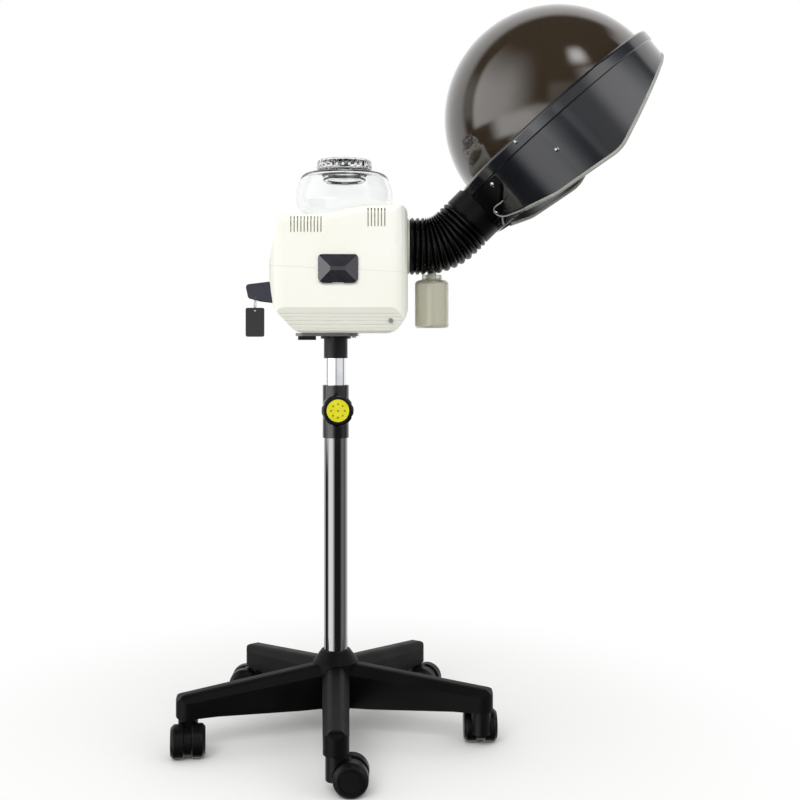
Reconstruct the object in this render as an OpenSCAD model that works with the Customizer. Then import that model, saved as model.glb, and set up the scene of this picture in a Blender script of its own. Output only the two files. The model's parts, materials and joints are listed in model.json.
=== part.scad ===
/* [Star base] */
// Distance from the column to each castor stem
stem_r = 236; // [215:1:250]
// Arms of the star base
arm_count = 5; // [5:1:5]
// Width of an arm at the hub
arm_root_w = 43; // [38:1:48]
// Width of an arm at its rounded end
arm_tip_w = 37; // [34:1:40]
// Height of the top of an arm where it leaves the hub
arm_root_top = 115; // [108:1:122]
// Height of the top of an arm over its castor
arm_tip_top = 92; // [86:1:98]
// Height of the flat rim under the hub
hub_floor = 46; // [42:1:50]
// Radius of the hub
hub_r = 36; // [34:1:42]
// Height of the collar that takes the column
hub_top = 133; // [128:1:140]
// Wall of the moulded star
star_wall = 4; // [3:0.5:5]
// Castor stem radius
stem_pin_r = 5.5; // [5:0.1:6]

/* [Castors] */
// Wheel diameter
wheel_d = 50; // [46:1:54]
// Width of one tread
wheel_w = 20; // [17:1:22]
// Distance between the swivel axis and the axle
castor_trail = 21; // [18:1:24]
// Axle radius
axle_r = 4; // [3:0.25:5]
// Thickness of the web between the wheels
castor_web = 11; // [9:0.5:13]

/* [Column] */
// Outer tube diameter
outer_d = 38; // [36:1:42]
// Outer tube wall
outer_wall = 2; // [1.5:0.25:2.5]
// Inner tube diameter
inner_d = 32; // [29:0.5:32]
// Inner tube wall
inner_wall = 1.5; // [1:0.25:2]
// Height of the top of the outer tube
outer_top = 552; // [520:1:580]
// Length of the inner tube
inner_len = 470; // [400:1:480]
// Inner tube in sight above the outer one
inner_show = 47; // [35:1:90]
// Length of the clamp sleeve
sleeve_len = 84; // [70:1:100]
// Wall of the clamp sleeve
sleeve_wall = 2; // [1.5:0.5:3]

/* [Clamp] */
// Direction the knob faces, seen from above
clamp_turn = -83; // [-120:1:-60]
// Knob centre below the top of the outer tube
knob_drop = 34; // [28:1:44]
// Knob diameter
knob_d = 50; // [44:1:56]
// Knob thickness
knob_t = 19; // [15:1:24]
// Yellow disc diameter
disc_d = 35; // [28:1:38]
// Stud radius
stud_r = 5; // [4:0.5:6]
// Radius of the round brake pad
pad_r = 6.5; // [6:0.5:8]
// Lobes round the knob
knob_lobes = 8; // [6:1:12]

/* [Housing] */
// Width of the housing across the machine
case_w = 180; // [168:2:190]
// Wall of the housing
case_wall = 3; // [2:0.5:4]
// Roundness of the upright corners
case_corner = 24; // [14:1:32]
// Width of the flat under the sloped lower band
case_foot_w = 150; // [136:2:160]
// Height of the crease over the lower band
band_top = 678; // [668:1:690]
// Roundness of the long top edges
roof_round = 12; // [6:1:16]
// Grooves in the lower band, each side
band_grooves = 5; // [3:1:6]
// Slots in the larger group of vents
vent_count_left = 10; // [6:1:12]
// Slots in the smaller group of vents
vent_count_right = 6; // [4:1:7]
// Spacing of the vent slots
vent_pitch = 5.1; // [4:0.1:6]
// Width of a vent slot
vent_w = 1.8; // [1:0.2:2.4]
// Width of the side catches
catch_w = 61; // [50:1:68]
// Height of the side catches
catch_h = 44; // [38:1:50]
// How far a side catch stands out
catch_t = 12; // [9:1:16]

/* [Handle and tag] */
// How far the handle stands out
handle_out = 44; // [36:1:60]
// Width of the handle
handle_w = 118; // [90:1:130]
// Thickness of the handle's cheeks
cheek_t = 4; // [3:0.5:6]
// Thickness of the grip bar
grip_t = 13; // [10:1:16]
// Width of the hanging tag
tag_w = 29; // [22:1:34]
// Height of the hanging tag
tag_h = 45; // [34:1:52]
// Mean radius of the tag's wire ring
tag_ring_r = 10; // [8:0.5:12]
// Wire radius of the ring
tag_wire_r = 0.7; // [0.5:0.1:0.9]

/* [Controls] */
// Diameter of the timer knob
timer_d = 26; // [22:1:32]

/* [Water jar] */
// Largest diameter of the jar
jar_d = 153; // [140:1:156]
// Wall of the jar
jar_wall = 3.5; // [2.5:0.5:5]
// Lid diameter
lid_d = 88; // [80:1:96]
// Lid thickness
lid_t = 15; // [10:1:20]
// Diameter of the jar's mouth
mouth_d = 72; // [64:1:76]
// Flutes round the lid
lid_flutes = 28; // [20:1:36]

/* [Hose and drip bottle] */
// Diameter over the ribs
hose_d = 91; // [86:1:94]
// Depth of the ribs
rib_depth = 5; // [3:0.5:6]
// Ribs along the hose
rib_count = 12; // [10:1:24]
// Bore of the hose
hose_bore = 76; // [70:1:78]
// Radius of the bend
bend_r = 75; // [60:1:90]
// Sides of each rib ring
hose_sides = 16; // [8:4:24]
// Diameter of the drip bottle
bottle_d = 54; // [46:1:58]
// Height of the drip bottle below its neck
bottle_h = 78; // [60:1:90]

/* [Hood] */
// Lean of the hood, seam plane from level
hood_lean = 41; // [38:0.1:43]
// Radius of the dome at the seam
dome_r = 176; // [170:1:179]
// Height of the dome
dome_h = 177; // [160:1:185]
// Outer radius of the skirt
skirt_r = 188; // [185:1:192]
// Wall of the dome and skirt
hood_wall = 3.5; // [2.5:0.5:5]
// Width of the saddle bracket behind the hood
saddle_w = 226; // [200:2:240]
// Height of the saddle bracket
saddle_h = 51; // [46:1:56]
// Depth of the skirt at its front
skirt_front = 33; // [28:1:40]
// Depth of the skirt at its side
skirt_side = 104; // [100:1:110]
// Depth of the skirt at its back
skirt_back = 77; // [76:1:84]

/* [Hidden] */
$fn = 64;
run = 0.05;    // radial clearance of a running fit
seat = 0.3;    // gap between curved faces of different bodies
slip = 0.1;    // gap between flat faces that only just clear

// Colours, as the photograph shows them
c_black = "#1b1b1d";
c_cream = "#f3f2e6";
c_smoke = "#574c40";
c_slate = "#3d4149";
c_steel = "#b9bcc0";

// Points on an arc
function arc(c, r, a0, a1, n) =
    [for (i = [0:n]) let(a = a0 + (a1 - a0) * i / n) c + r * [cos(a), sin(a)]];
function unit(v) = v / norm(v);
// One corner of an outline, rounded to radius r
function corner(p, q, s, r, n) =
    r <= 0 ? [q] :
    let(a = unit(p - q), b = unit(s - q), half = acos(a * b) / 2,
        c = q + unit(a + b) * r / sin(half),
        t0 = q + a * r / tan(half) - c, t1 = q + b * r / tan(half) - c,
        a0 = atan2(t0.y, t0.x), turn = atan2(cross(t0, t1), t0 * t1))
    [for (i = [0:n]) c + r * [cos(a0 + turn * i / n), sin(a0 + turn * i / n)]];
// An outline with each corner rounded to its own radius
function rounded(pts, rs, n = 5) =
    let(m = len(pts))
    [for (i = [0:m - 1]) each corner(pts[(i + m - 1) % m], pts[i], pts[(i + 1) % m], rs[i], n)];
// An outline listed anticlockwise, moved inwards by d
function inset(pts, d) =
    let(m = len(pts))
    [for (i = [0:m - 1])
        let(u = unit(pts[i] - pts[(i + m - 1) % m]), v = unit(pts[(i + 1) % m] - pts[i]),
            n1 = [-u.y, u.x], n2 = [-v.y, v.x])
        pts[i] + d * (n1 + n2) / (1 + n1 * n2)];

// A rounded bar from above, standing on z = 0
module slab(x, y, z, r) {
    linear_extrude(z) polygon(rounded([[-x, -y] / 2, [x, -y] / 2, [x, y] / 2, [-x, y] / 2], [r, r, r, r]));
}
// An outline drawn in x and z, as thick as w across the machine
module side_prism(pts, w) {
    translate([0, w / 2, 0]) rotate([90, 0, 0]) linear_extrude(w) polygon(pts);
}
// A cylinder along x that starts at the origin
module rod_x(r, l) {
    rotate([0, 90, 0]) cylinder(r = r, h = l);
}
// A cylinder along y, centred
module rod_y(r, l) {
    rotate([90, 0, 0]) cylinder(r = r, h = l, center = true);
}

// STAR BASE AND CASTORS
castor_top = wheel_d + 4;
arm_under = castor_top + 1;
tip_r = arm_tip_w / 2;
arm_slope = atan((arm_root_top - arm_tip_top) / (stem_r - hub_r));
socket_r = 11;
star_turn = 3.5;
foot_shelf = 8;
tube_foot = hub_floor + 8 + foot_shelf;
bolt_r = 5;

arm_start = hub_r - 8;
arm_end = stem_r + tip_r;
arm_side = rounded([
    [arm_start, hub_floor + 1], [hub_r + 30, hub_floor + 2], [stem_r - 40, arm_under], [arm_end, arm_under],
    [arm_end, arm_tip_top - 3], [hub_r, arm_root_top - 1], [arm_start, arm_root_top - 1]
], [0, 30, 30, 2, 14, 0, 0], 4);
module arm_plan(d, h) {
    root = arm_root_w / 2 - d;
    linear_extrude(h) {
        polygon([[arm_start, -root], [stem_r, -tip_r + d], [stem_r, tip_r - d], [arm_start, root]]);
        translate([stem_r, 0]) circle(r = tip_r - d);
    }
}
// Crown of the arm, a ridge with rounded shoulders that runs down with its top
crown_in = 13;
crown_down = 17;
module arm_crown() {
    w = arm_root_w / 2 + 1;
    translate([hub_r, 0, arm_root_top - 1]) rotate([90, 0, 90])
        multmatrix([[1, 0, 0, 0], [0, 1, -tan(arm_slope), 0], [0, 0, 1, 0], [0, 0, 0, 1]])
            translate([0, 0, -20]) linear_extrude(stem_r + 60)
                polygon(rounded([[-w, -100], [w, -100], [w, -crown_down], [w - crown_in, 0.01],
                                 [-w + crown_in, 0.01], [-w, -crown_down]], [0, 0, 8, 10, 10, 8], 3));
}
module arm_solid() {
    intersection() {
        side_prism(arm_side, arm_root_w + 10);
        arm_plan(0, 200);
        arm_crown();
    }
}
// The space under an arm, between its ribs and round its castor socket
rib_t = 2.5;
rib_step = 42;
module arm_hollow() {
    roof_t = crown_down - 2;
    difference() {
        intersection() {
            side_prism([
                [hub_r + star_wall, 0], [arm_end, 0],
                [arm_end, arm_tip_top - roof_t], [hub_r + star_wall, arm_root_top - roof_t]
            ], arm_root_w + 10);
            translate([0, 0, -1]) arm_plan(star_wall, 200);
        }
        for (x = [hub_r + 40 : rib_step : stem_r - 30])
            translate([x, -arm_root_w, -1]) cube([rib_t, 2 * arm_root_w, 200]);
        translate([stem_r, 0, -1]) cylinder(r = socket_r, h = 200);
    }
}
module star_base() {
    color(c_black) rotate([0, 0, star_turn]) difference() {
        union() {
            for (i = [0 : arm_count - 1]) rotate([0, 0, -90 + 72 * i]) arm_solid();
            translate([0, 0, hub_floor]) cylinder(r = hub_r, h = arm_root_top - hub_floor);
            translate([0, 0, arm_root_top - 0.01])
                cylinder(r1 = hub_r, r2 = outer_d / 2 + 4, h = hub_top - arm_root_top);
        }
        for (i = [0 : arm_count - 1]) rotate([0, 0, -90 + 72 * i]) {
            arm_hollow();
            stem_socket();
        }
        translate([0, 0, tube_foot]) cylinder(r = outer_d / 2 + run, h = 200);
        translate([0, 0, tube_foot - foot_shelf - 20]) cylinder(r = hub_r - star_wall - 4, h = 20);
        cylinder(r = bolt_r + 0.3, h = 200);
    }
}
module stem_socket() {
    translate([stem_r, 0, 0]) cylinder(r = stem_pin_r + run, h = arm_tip_top - 6);
}
// Underside of the hub's shelf, where the bolt's washer bears
bolt_seat = tube_foot - foot_shelf;
bolt_head_r = 9.8;
washer_t = 2;
module column_bolt() {
    head_h = 6.4;
    color(c_steel) {
        translate([0, 0, bolt_seat - washer_t - head_h]) cylinder(r = bolt_head_r, h = head_h, $fn = 6);
        translate([0, 0, bolt_seat - washer_t - 0.01]) cylinder(r = bolt_head_r, h = washer_t - 0.01);
        translate([0, 0, bolt_seat - washer_t - 1]) cylinder(r = bolt_r, h = 36);
    }
}

wheel_r = wheel_d / 2;
stem_top = arm_tip_top - 8;
wheel_gap = 0.6;
axle_tip = castor_web / 2 + wheel_gap + wheel_w - 5;
// Castor standing at the origin, trailing along +x
module castor_frame_shape() {
    color(c_black) difference() {
        union() {
            intersection() {
                translate([castor_trail, 0, wheel_r]) rod_y(wheel_r - 3, castor_web);
                translate([-40, -40, 6]) cube([80 + castor_trail, 80, 100]);
            }
            // shoulder that carries the stem
            intersection() {
                union() {
                    cylinder(r = 15, h = castor_top);
                    translate([0, -castor_web / 2, 0]) cube([castor_trail, castor_web, castor_top - 5]);
                }
                translate([-15, -20, wheel_r - 6]) cube([60, 40, castor_top]);
                union() {
                    translate([-40, -castor_web / 2, 0]) cube([100, castor_web, 100]);
                    difference() {
                        translate([-40, -40, 0]) cube([100, 80, castor_top]);
                        translate([castor_trail, 0, wheel_r]) rod_y(wheel_r + 1.2, 100);
                    }
                }
            }
        }
        translate([castor_trail, 0, wheel_r]) rod_y(axle_r + run, 100);
        translate([0, 0, wheel_r]) cylinder(r = stem_pin_r + run, h = 100);
    }
    color(c_steel) {
        translate([0, 0, wheel_r + 0.2]) cylinder(r = stem_pin_r, h = stem_top - wheel_r);
        translate([castor_trail, 0, wheel_r]) rod_y(axle_r, 2 * axle_tip);
    }
}
module castor_wheel_shape(side) {
    inner = castor_web / 2 + wheel_gap;
    color(c_black) translate([castor_trail, 0, wheel_r]) rotate([side > 0 ? -90 : 90, 0, 0])
        difference() {
            rotate_extrude() polygon(rounded([
                [0, inner], [wheel_r - 1, inner], [wheel_r, inner + 1], [wheel_r, inner + wheel_w - 5],
                [wheel_r - 5, inner + wheel_w], [16.2, inner + wheel_w], [16.2, inner + wheel_w - 1.2],
                [15, inner + wheel_w - 1.2], [15, inner + wheel_w], [0, inner + wheel_w]
            ], [0, 0, 0, 4, 4, 0, 0, 0, 0, 0]));
            cylinder(r = axle_r + run, h = axle_tip + slip);
            // hollow behind the tread, round the hub
            translate([0, 0, inner - 0.1]) difference() {
                cylinder(r = wheel_r - 4, h = 5);
                cylinder(r = axle_r + 4, h = 20);
            }
        }
}
// Way each castor trails, from the photograph
castor_turn = [0, 90, -20, 180, -80];
module at_castor(i) {
    a = star_turn - 90 + 72 * (i - 1);
    translate([stem_r * cos(a), stem_r * sin(a), 0]) rotate([0, 0, castor_turn[i - 1]]) children();
}

// COLUMN
outer_r = outer_d / 2;
bore_r = outer_r - outer_wall;
inner_r = inner_d / 2;
bush_flange = 4;
sleeve_top = outer_top + bush_flange;
knob_z = outer_top - knob_drop;
inner_top = sleeve_top + inner_show + 27;
module at_clamp() {
    translate([0, 0, knob_z]) rotate([0, 0, clamp_turn]) children();
}
pad_face = inner_r + seat;
pad_back = outer_r + 1;
pad_travel = 2.25;
boss_end = outer_r + 13;
knob_back = boss_end + 2.5;

module outer_tube() {
    color(c_black) difference() {
        translate([0, 0, tube_foot]) cylinder(r = outer_r, h = outer_top - tube_foot);
        translate([0, 0, tube_foot + 22]) cylinder(r = bore_r, h = outer_top);
        translate([0, 0, tube_foot - 1]) cylinder(r = bolt_r + run, h = 60);
        at_clamp() rod_x(pad_r + 0.5, 40);
    }
}
module guide_bush() {
    color("#2a2a2c") difference() {
        union() {
            translate([0, 0, outer_top - 78]) cylinder(r = bore_r - run, h = 78);
            translate([0, 0, outer_top]) cylinder(r = outer_r, h = bush_flange);
        }
        translate([0, 0, outer_top - 100]) cylinder(r = inner_r + run, h = 200);
        at_clamp() rod_x(pad_r + 0.5, 40);
    }
}
sleeve_foot = sleeve_top - sleeve_len;
module clamp_sleeve() {
    color(c_black) difference() {
        union() {
            difference() {
                translate([0, 0, sleeve_foot]) cylinder(r = outer_r + sleeve_wall, h = sleeve_len);
                translate([0, 0, sleeve_foot - 1]) cylinder(r = outer_r + run, h = sleeve_len + 2);
            }
            difference() {
                at_clamp() rod_x(stud_r + 6, boss_end);
                translate([0, 0, sleeve_foot - 1]) cylinder(r = outer_r + run, h = sleeve_len + 2);
            }
        }
        at_clamp() {
            rod_x(stud_r + run, 100);
            rod_x(pad_r + 0.5, pad_back + pad_travel + 0.4);
        }
    }
}
module brake_pad() {
    color("#3a3a3a") difference() {
        at_clamp() translate([pad_face - 6, 0, 0]) rod_x(pad_r, pad_back - pad_face + 6);
        translate([0, 0, knob_z - 20]) cylinder(r = pad_face, h = 40);
    }
}
module clamp_stud() {
    color(c_steel) at_clamp() translate([pad_back, 0, 0]) rod_x(stud_r, knob_back + 12 - pad_back);
}
module clamp_knob() {
    color(c_black) at_clamp() translate([knob_back, 0, 0]) rotate([0, 90, 0]) difference() {
        rotate_extrude() polygon(rounded([
            [0, 0], [knob_d / 2 - 7, 0], [knob_d / 2, 5], [knob_d / 2, knob_t], [0, knob_t]
        ], [0, 4, 4, 4, 0]));
        translate([0, 0, -1]) cylinder(r = stud_r + run, h = 13);
        translate([0, 0, knob_t - 1.6]) cylinder(r = disc_d / 2 + 0.1, h = 3);
        for (i = [0 : knob_lobes - 1]) rotate([0, 0, 360 / knob_lobes * (i + 0.5)])
            translate([knob_d / 2 + 4.6, 0, -1]) cylinder(r = 6, h = knob_t + 2, $fn = 32);
    }
}
module knob_disc() {
    color("#e9e733") at_clamp() translate([knob_back + knob_t - 1.6, 0, 0]) rod_x(disc_d / 2, 1.8);
}
module inner_tube() {
    color(c_steel) difference() {
        translate([0, 0, inner_top - inner_len]) cylinder(r = inner_r, h = inner_len);
        translate([0, 0, inner_top - inner_len - 1]) cylinder(r = inner_r - inner_wall, h = inner_len + 2);
    }
}

// HOUSING
case_floor = 639;
plate_t = 5;
plate_z = case_floor - plate_t;
socket_foot = sleeve_top + inner_show - 4;
module tube_socket() {
    color(c_black) difference() {
        union() {
            translate([0, 0, socket_foot]) cylinder(r = inner_r + 3, h = plate_z - socket_foot);
            translate([0, 0, plate_z - 4]) cylinder(r = inner_r + 8, h = 4);
        }
        translate([0, 0, socket_foot - 1])
            cylinder(r = inner_r + run, h = inner_top + seat - socket_foot + 1);
    }
}
plate_mid = -11;
module base_plate() {
    color(c_black) difference() {
        translate([plate_mid, 0, plate_z]) slab(98, 116, plate_t, 12);
        for (p = plate_screw_at) translate([p.x, p.y, plate_z - 1]) cylinder(r = screw_r + run, h = 20);
        translate([gland_x, gland_y, plate_z - 1]) cylinder(r = cable_r, h = 20);
    }
}

// Side view of the housing, anticlockwise
case_side = [
    [-56, case_floor], [94, case_floor], [115, 668], [115, 835],
    [45, 835], [-23, 821], [-80.6, 821], [-99, 745], [-99, 731], [-90, 676]
];
case_side_r = [26, 26, 30, 14, 30, 30, 6, 14, 14, 20];
roof = [[-80.6, 821], [-23, 821], [45, 835], [115, 835]];
case_left = -99;
case_right = 115;
case_mid = (case_left + case_right) / 2;
seam_z = 736.8;
seam_tilt = 2.74;
seam_gap = 0.2;

module case_end(d) {
    w = case_w / 2;
    f = case_foot_w / 2;
    pts = inset([[-f, case_floor], [f, case_floor], [w, band_top], [w, 900], [-w, 900], [-w, band_top]], d);
    translate([-200, 0, 0]) rotate([90, 0, 90]) linear_extrude(400) polygon(rounded(pts, [8, 8, 3, 0, 0, 3]));
}
module case_plan(d) {
    r = case_corner - d;
    translate([case_mid, 0, 600])
        slab(case_right - case_left - 2 * d, case_w - 2 * d, 300, r);
}
// Rounds the long top edges, one run of the roof at a time
module roof_edges(d) {
    r = roof_round;
    for (i = [0 : 2], s = [-1, 1]) {
        a = roof[i];
        b = roof[i + 1];
        slope = atan((b.y - a.y) / (b.x - a.x));
        translate([a.x, s * (case_w / 2 - d), a.y]) rotate([0, -slope, 0]) translate([-8, 0, -d])
            rotate([90, 0, 90]) linear_extrude(norm(b - a) + 16) scale([s, 1])
                polygon(concat([[2, 2], [-r, 2]], arc([-r, -r], r, 90, 0, 5), [[2, -r]]));
    }
}
module case_solid(d) {
    difference() {
        intersection() {
            side_prism(rounded(inset(case_side, d), case_side_r), case_w + 10);
            case_end(d);
            case_plan(d);
        }
        roof_edges(d);
    }
}
module below_seam(g) {
    translate([0, 0, seam_z - g]) rotate([0, seam_tilt, 0])
        translate([-300, -300, -400]) cube([600, 600, 400]);
}
screw_r = 2;
screw_head_r = 3.8;
screw_head_t = 2.4;
post_r = 6;
post_top = 728;
post_floor = 4;
post_at = [for (x = [-46, 78], y = [-64, 64]) [x, y]];
plate_screw_at = [for (x = [-50, 28], y = [-26, 26]) [x, y]];
side_screw_x = 88.8;
side_screw_z = 657.8;
gland_x = -42;
gland_y = -46;
cable_r = 2.5;
jar_x = 14;
jar_floor = 796;
well_r = 56;
hose_z = 778;
steam_r = 12;
catch_x = 9;
catch_z = 736.5;
catch_arm_x = 16;
catch_arm_w = 7;
catch_pin_back = 5.5;
catch_pin_y = case_w / 2 - catch_pin_back;
catch_pin_z = catch_z + catch_h / 2 - 0.5;
catch_pin_r = 2;
// Crescent under the catch: its drop below the catch, its depth, and the radius that these give
crescent_drop = 8;
crescent_t = 1.2;
crescent_r = (pow(catch_w / 2 - 1, 2) + pow(crescent_drop, 2)) / (2 * crescent_drop);
panel_lean = atan((case_side[6].x - case_side[7].x) / (case_side[6].y - case_side[7].y));
// Frame of the sloped left end: its outward side is -x
module at_panel() {
    m = (case_side[6] + case_side[7]) / 2;
    translate([m.x, 0, m.y]) rotate([0, panel_lean, 0]) children();
}
panel_depth = 15;
panel_w = 124;
panel_h = 46;

module lower_shell() {
    color(c_cream) difference() {
        union() {
            difference() {
                case_solid(0);
                case_solid(case_wall);
            }
            // hollow posts for the case screws
            intersection() {
                case_solid(1);
                for (p = post_at) translate([p.x, p.y, 600]) cylinder(r = post_r, h = post_top - 600);
            }
        }
        difference() {
            translate([-300, -300, 500]) cube([600, 600, 600]);
            below_seam(0);
        }
        // fine grooves in the sloped band
        for (k = [0 : band_grooves - 1], s = [-1, 1]) {
            z = case_floor + 6 + k * 5.6;
            y = case_foot_w / 2 + (case_w - case_foot_w) / 2 * (z - case_floor) / (band_top - case_floor);
            translate([case_left + 24 - k * 1.2, s * y - 1, z]) cube([186 + k * 2.4, 2, 1.6]);
        }
        for (p = post_at) translate([p.x, p.y, 600]) {
            cylinder(r = screw_r + run, h = 200);
            cylinder(r = screw_head_r + 0.4, h = post_top - post_floor - 600);
        }
        for (p = plate_screw_at) translate([p.x, p.y, 600]) cylinder(r = screw_r + run, h = 60);
        // crescent for a fingertip under each side catch
        for (s = [-1, 1]) intersection() {
            translate([catch_x, s * case_w / 2, catch_z - catch_h / 2 + crescent_r - crescent_drop])
                rod_y(crescent_r, 2 * crescent_t);
            translate([catch_x, s * case_w / 2, catch_z - catch_h / 2 - crescent_drop])
                cube([catch_w, 2 * crescent_t, 2 * crescent_drop + 2], center = true);
        }
        // recess for the screw at the outlet end of the sloped band, both sides
        for (s = [-1, 1]) translate([side_screw_x, s * case_w / 2, side_screw_z]) rod_y(3.6, 20);
        // way in for the cable
        translate([gland_x, gland_y, 600]) cylinder(r = cable_r, h = 60);
    }
}
module upper_shell() {
    color(c_cream) difference() {
        union() {
            difference() {
                case_solid(0);
                case_solid(case_wall);
            }
            intersection() {
                case_solid(1);
                union() {
                    for (p = post_at) translate([p.x, p.y, post_top]) cylinder(r = post_r, h = 200);
                    for (s = [-1, 1], x = [-1, 1])
                        translate([catch_x + x * (catch_arm_x + 7.5), s * (case_w / 2 - 6), catch_pin_z + 1])
                            cube([6, 12, 10], center = true);
                    translate([jar_x, 0, jar_floor - case_wall])
                        cylinder(r1 = well_r + 3, r2 = well_r + 23, h = 46);
                    at_panel() translate([-4, -panel_w / 2 - 3, -panel_h / 2 - 3])
                        cube([panel_depth + 7, panel_w + 6, panel_h + 6]);
                }
            }
        }
        difference() {
            below_seam(-seam_gap);
            for (p = post_at) translate([p.x, p.y, post_top]) cylinder(r = post_r + 0.5, h = 200);
        }
        for (p = post_at) translate([p.x, p.y, 600]) cylinder(r = screw_r + run, h = 170);
        // well for the jar and the drain hole under it
        translate([jar_x, 0, jar_floor]) cylinder(r1 = well_r, r2 = well_r + 20, h = 46);
        translate([jar_x, 0, 700]) cylinder(r = 9.2, h = 200);
        // recess for the controls
        at_panel() translate([-20, -panel_w / 2, -panel_h / 2]) cube([panel_depth + 20, panel_w, panel_h]);
        at_panel() translate([0, -panel_w / 2 + 8, -panel_h / 2 + 8]) cube([40, panel_w - 16, panel_h - 16]);
        // vents near the top of both long sides
        for (s = [-1, 1]) {
            for (i = [0 : vent_count_left - 1]) translate([-63 + i * vent_pitch, s * case_w / 2, 804.5])
                cube([vent_w, 14, 24], center = true);
            for (i = [0 : vent_count_right - 1]) translate([54.5 + i * vent_pitch, s * case_w / 2, 815])
                cube([vent_w, 14, 28], center = true);
        }
        // way out for the steam
        translate([case_right - 12, 0, hose_z]) rod_x(steam_r + 0.4, 40);
        catch_slots();
        for (s = [-1, 1]) translate([catch_x, s * catch_pin_y, catch_pin_z])
            rotate([0, 90, 0]) cylinder(r = catch_pin_r + run, h = 2 * catch_arm_x + 22, center = true);
    }
}
module screw(at, z0, l) {
    translate([at.x, at.y, z0]) cylinder(r = screw_head_r, h = screw_head_t);
    translate([at.x, at.y, z0 + screw_head_t]) cylinder(r = screw_r, h = l);
}
module shell_screws() {
    color(c_steel) {
        for (p = post_at) screw(p, post_top - post_floor - screw_head_t, 18);
        for (p = plate_screw_at) screw(p, plate_z - screw_head_t, plate_t + case_wall - 0.5);
        // the screw in sight on each side, over the outlet
        for (s = [-1, 1]) translate([side_screw_x, s * (case_w / 2 - 7), side_screw_z]) rod_y(3.4, 4);
    }
}

// A side catch: a low hipped block on two arms that turn on a bar behind the wall, at its top edge.
// Drawn for the side with y below zero.
// The wall is cut through only as high as the block covers it, and from inside as high as the arms need.
module catch_slots() {
    for (s = [-1, 1], x = [-1, 1]) translate([catch_x + x * catch_arm_x, s * case_w / 2, catch_pin_z]) {
        translate([0, -s, -4.6]) cube([catch_arm_w + 1, 9, 9.8], center = true);
        translate([0, -s * 5.7, -2.5]) cube([catch_arm_w + 1, 8, 14], center = true);
    }
}
module catch_shape() {
    w = catch_w / 2;
    h = catch_h / 2;
    back = -case_w / 2 - seat;
    color("#232326") {
        translate([catch_x, back, catch_z]) difference() {
            intersection() {
                // outline seen from the side
                rotate([90, 0, 0]) linear_extrude(catch_t)
                    polygon(rounded([[-w, -h], [w, -h], [w, h], [-w, h]], [9, 9, 6, 6]));
                // sloped ends
                linear_extrude(200, center = true)
                    polygon([
                        [-w, 0], [w, 0], [w, -2.5], [w - 19, -catch_t], [-w + 19, -catch_t], [-w, -2.5]
                    ]);
                // sloped top and bottom, with the back relieved at the top so that it can turn
                rotate([90, 0, 90]) linear_extrude(200, center = true)
                    polygon([
                        [0, -h], [0, h - 5], [-0.8, h], [-2.5, h], [-catch_t, 3], [-catch_t, -3], [-2.5, -h]
                    ]);
            }
            // shallow scoop for a fingertip under the lower edge
            translate([0, 3, -h - 9]) rod_y(13, 12);
        }
        for (x = [-1, 1]) translate([catch_x + x * catch_arm_x - catch_arm_w / 2, 0, catch_pin_z]) {
            translate([0, back - 1.5, -5.2]) cube([catch_arm_w, catch_pin_back + 1.5, 2.8]);
            translate([0, -catch_pin_y, 0]) rod_x(3.5, catch_arm_w);
        }
        translate([catch_x - catch_arm_x - 10, -catch_pin_y, catch_pin_z])
            rod_x(catch_pin_r, 2 * catch_arm_x + 20);
    }
}
module side_catch_near() {
    catch_shape();
}
module side_catch_far() {
    mirror([0, 1, 0]) catch_shape();
}

// HANDLE AND TAG
handle_top = 717;
handle_low = 688;
handle_y = handle_w / 2;
tag_x = -121.8;
ring_top = 694;
cheek_y = -(handle_y - cheek_t / 2);
// Slope of the housing's end behind the handle
function end_x(z) = case_left + (731 - z) * 9 / 55;
handle_side = rounded([
    [end_x(handle_low) - handle_out + 4, handle_low + 4], [end_x(handle_low) + 1.5, handle_low - 1],
    [end_x(handle_top) + 1.5, handle_top + 2], [end_x(handle_top) - handle_out + 4, handle_top - 3]
], [5, 0, 0, 5]);
grip_back = case_left - handle_out + grip_t + 4;
module handle() {
    color("#35353a") difference() {
        side_prism(handle_side, handle_w);
        // finger gap behind the grip bar
        translate([grip_back - 1, -handle_y + cheek_t + 6, handle_low - 20])
            cube([80, handle_w - 2 * cheek_t - 12, 80]);
        // the outside of each cheek is set in, so that its lower edge is a thin web
        for (s = [-1, 1]) translate([grip_back, s * (handle_y - cheek_t - 3) - 3.01, handle_low - 8])
            cube([26, 6.02, 21]);
        translate([tag_x, -handle_y, ring_top]) rod_y(1.5, 60);
        case_solid(-0.1);
    }
}
module tag_ring() {
    color(c_steel) translate([tag_x, cheek_y, ring_top - tag_ring_r]) rotate([0, 90, 0])
        rotate_extrude() translate([tag_ring_r, 0]) circle(r = tag_wire_r, $fn = 20);
}
eyelet_z = ring_top - 2 * tag_ring_r;
tag_t = 2;
module tag() {
    color(c_black) difference() {
        translate([tag_x, cheek_y, eyelet_z + 4 - tag_h / 2]) rotate([90, 0, 0])
            translate([0, 0, -tag_t / 2]) slab(tag_w, tag_h, tag_t, 3);
        translate([tag_x, cheek_y, eyelet_z]) rod_y(1.5, 10);
    }
}
module cord_gland() {
    color(c_black) difference() {
        translate([gland_x, gland_y, plate_z - 6]) slab(27, 20, 6, 3);
        translate([gland_x - 28, gland_y, plate_z - 3.2]) rod_x(cable_r, 28);
        translate([gland_x, gland_y, plate_z - 5]) cylinder(r = cable_r, h = 10);
    }
}

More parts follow.
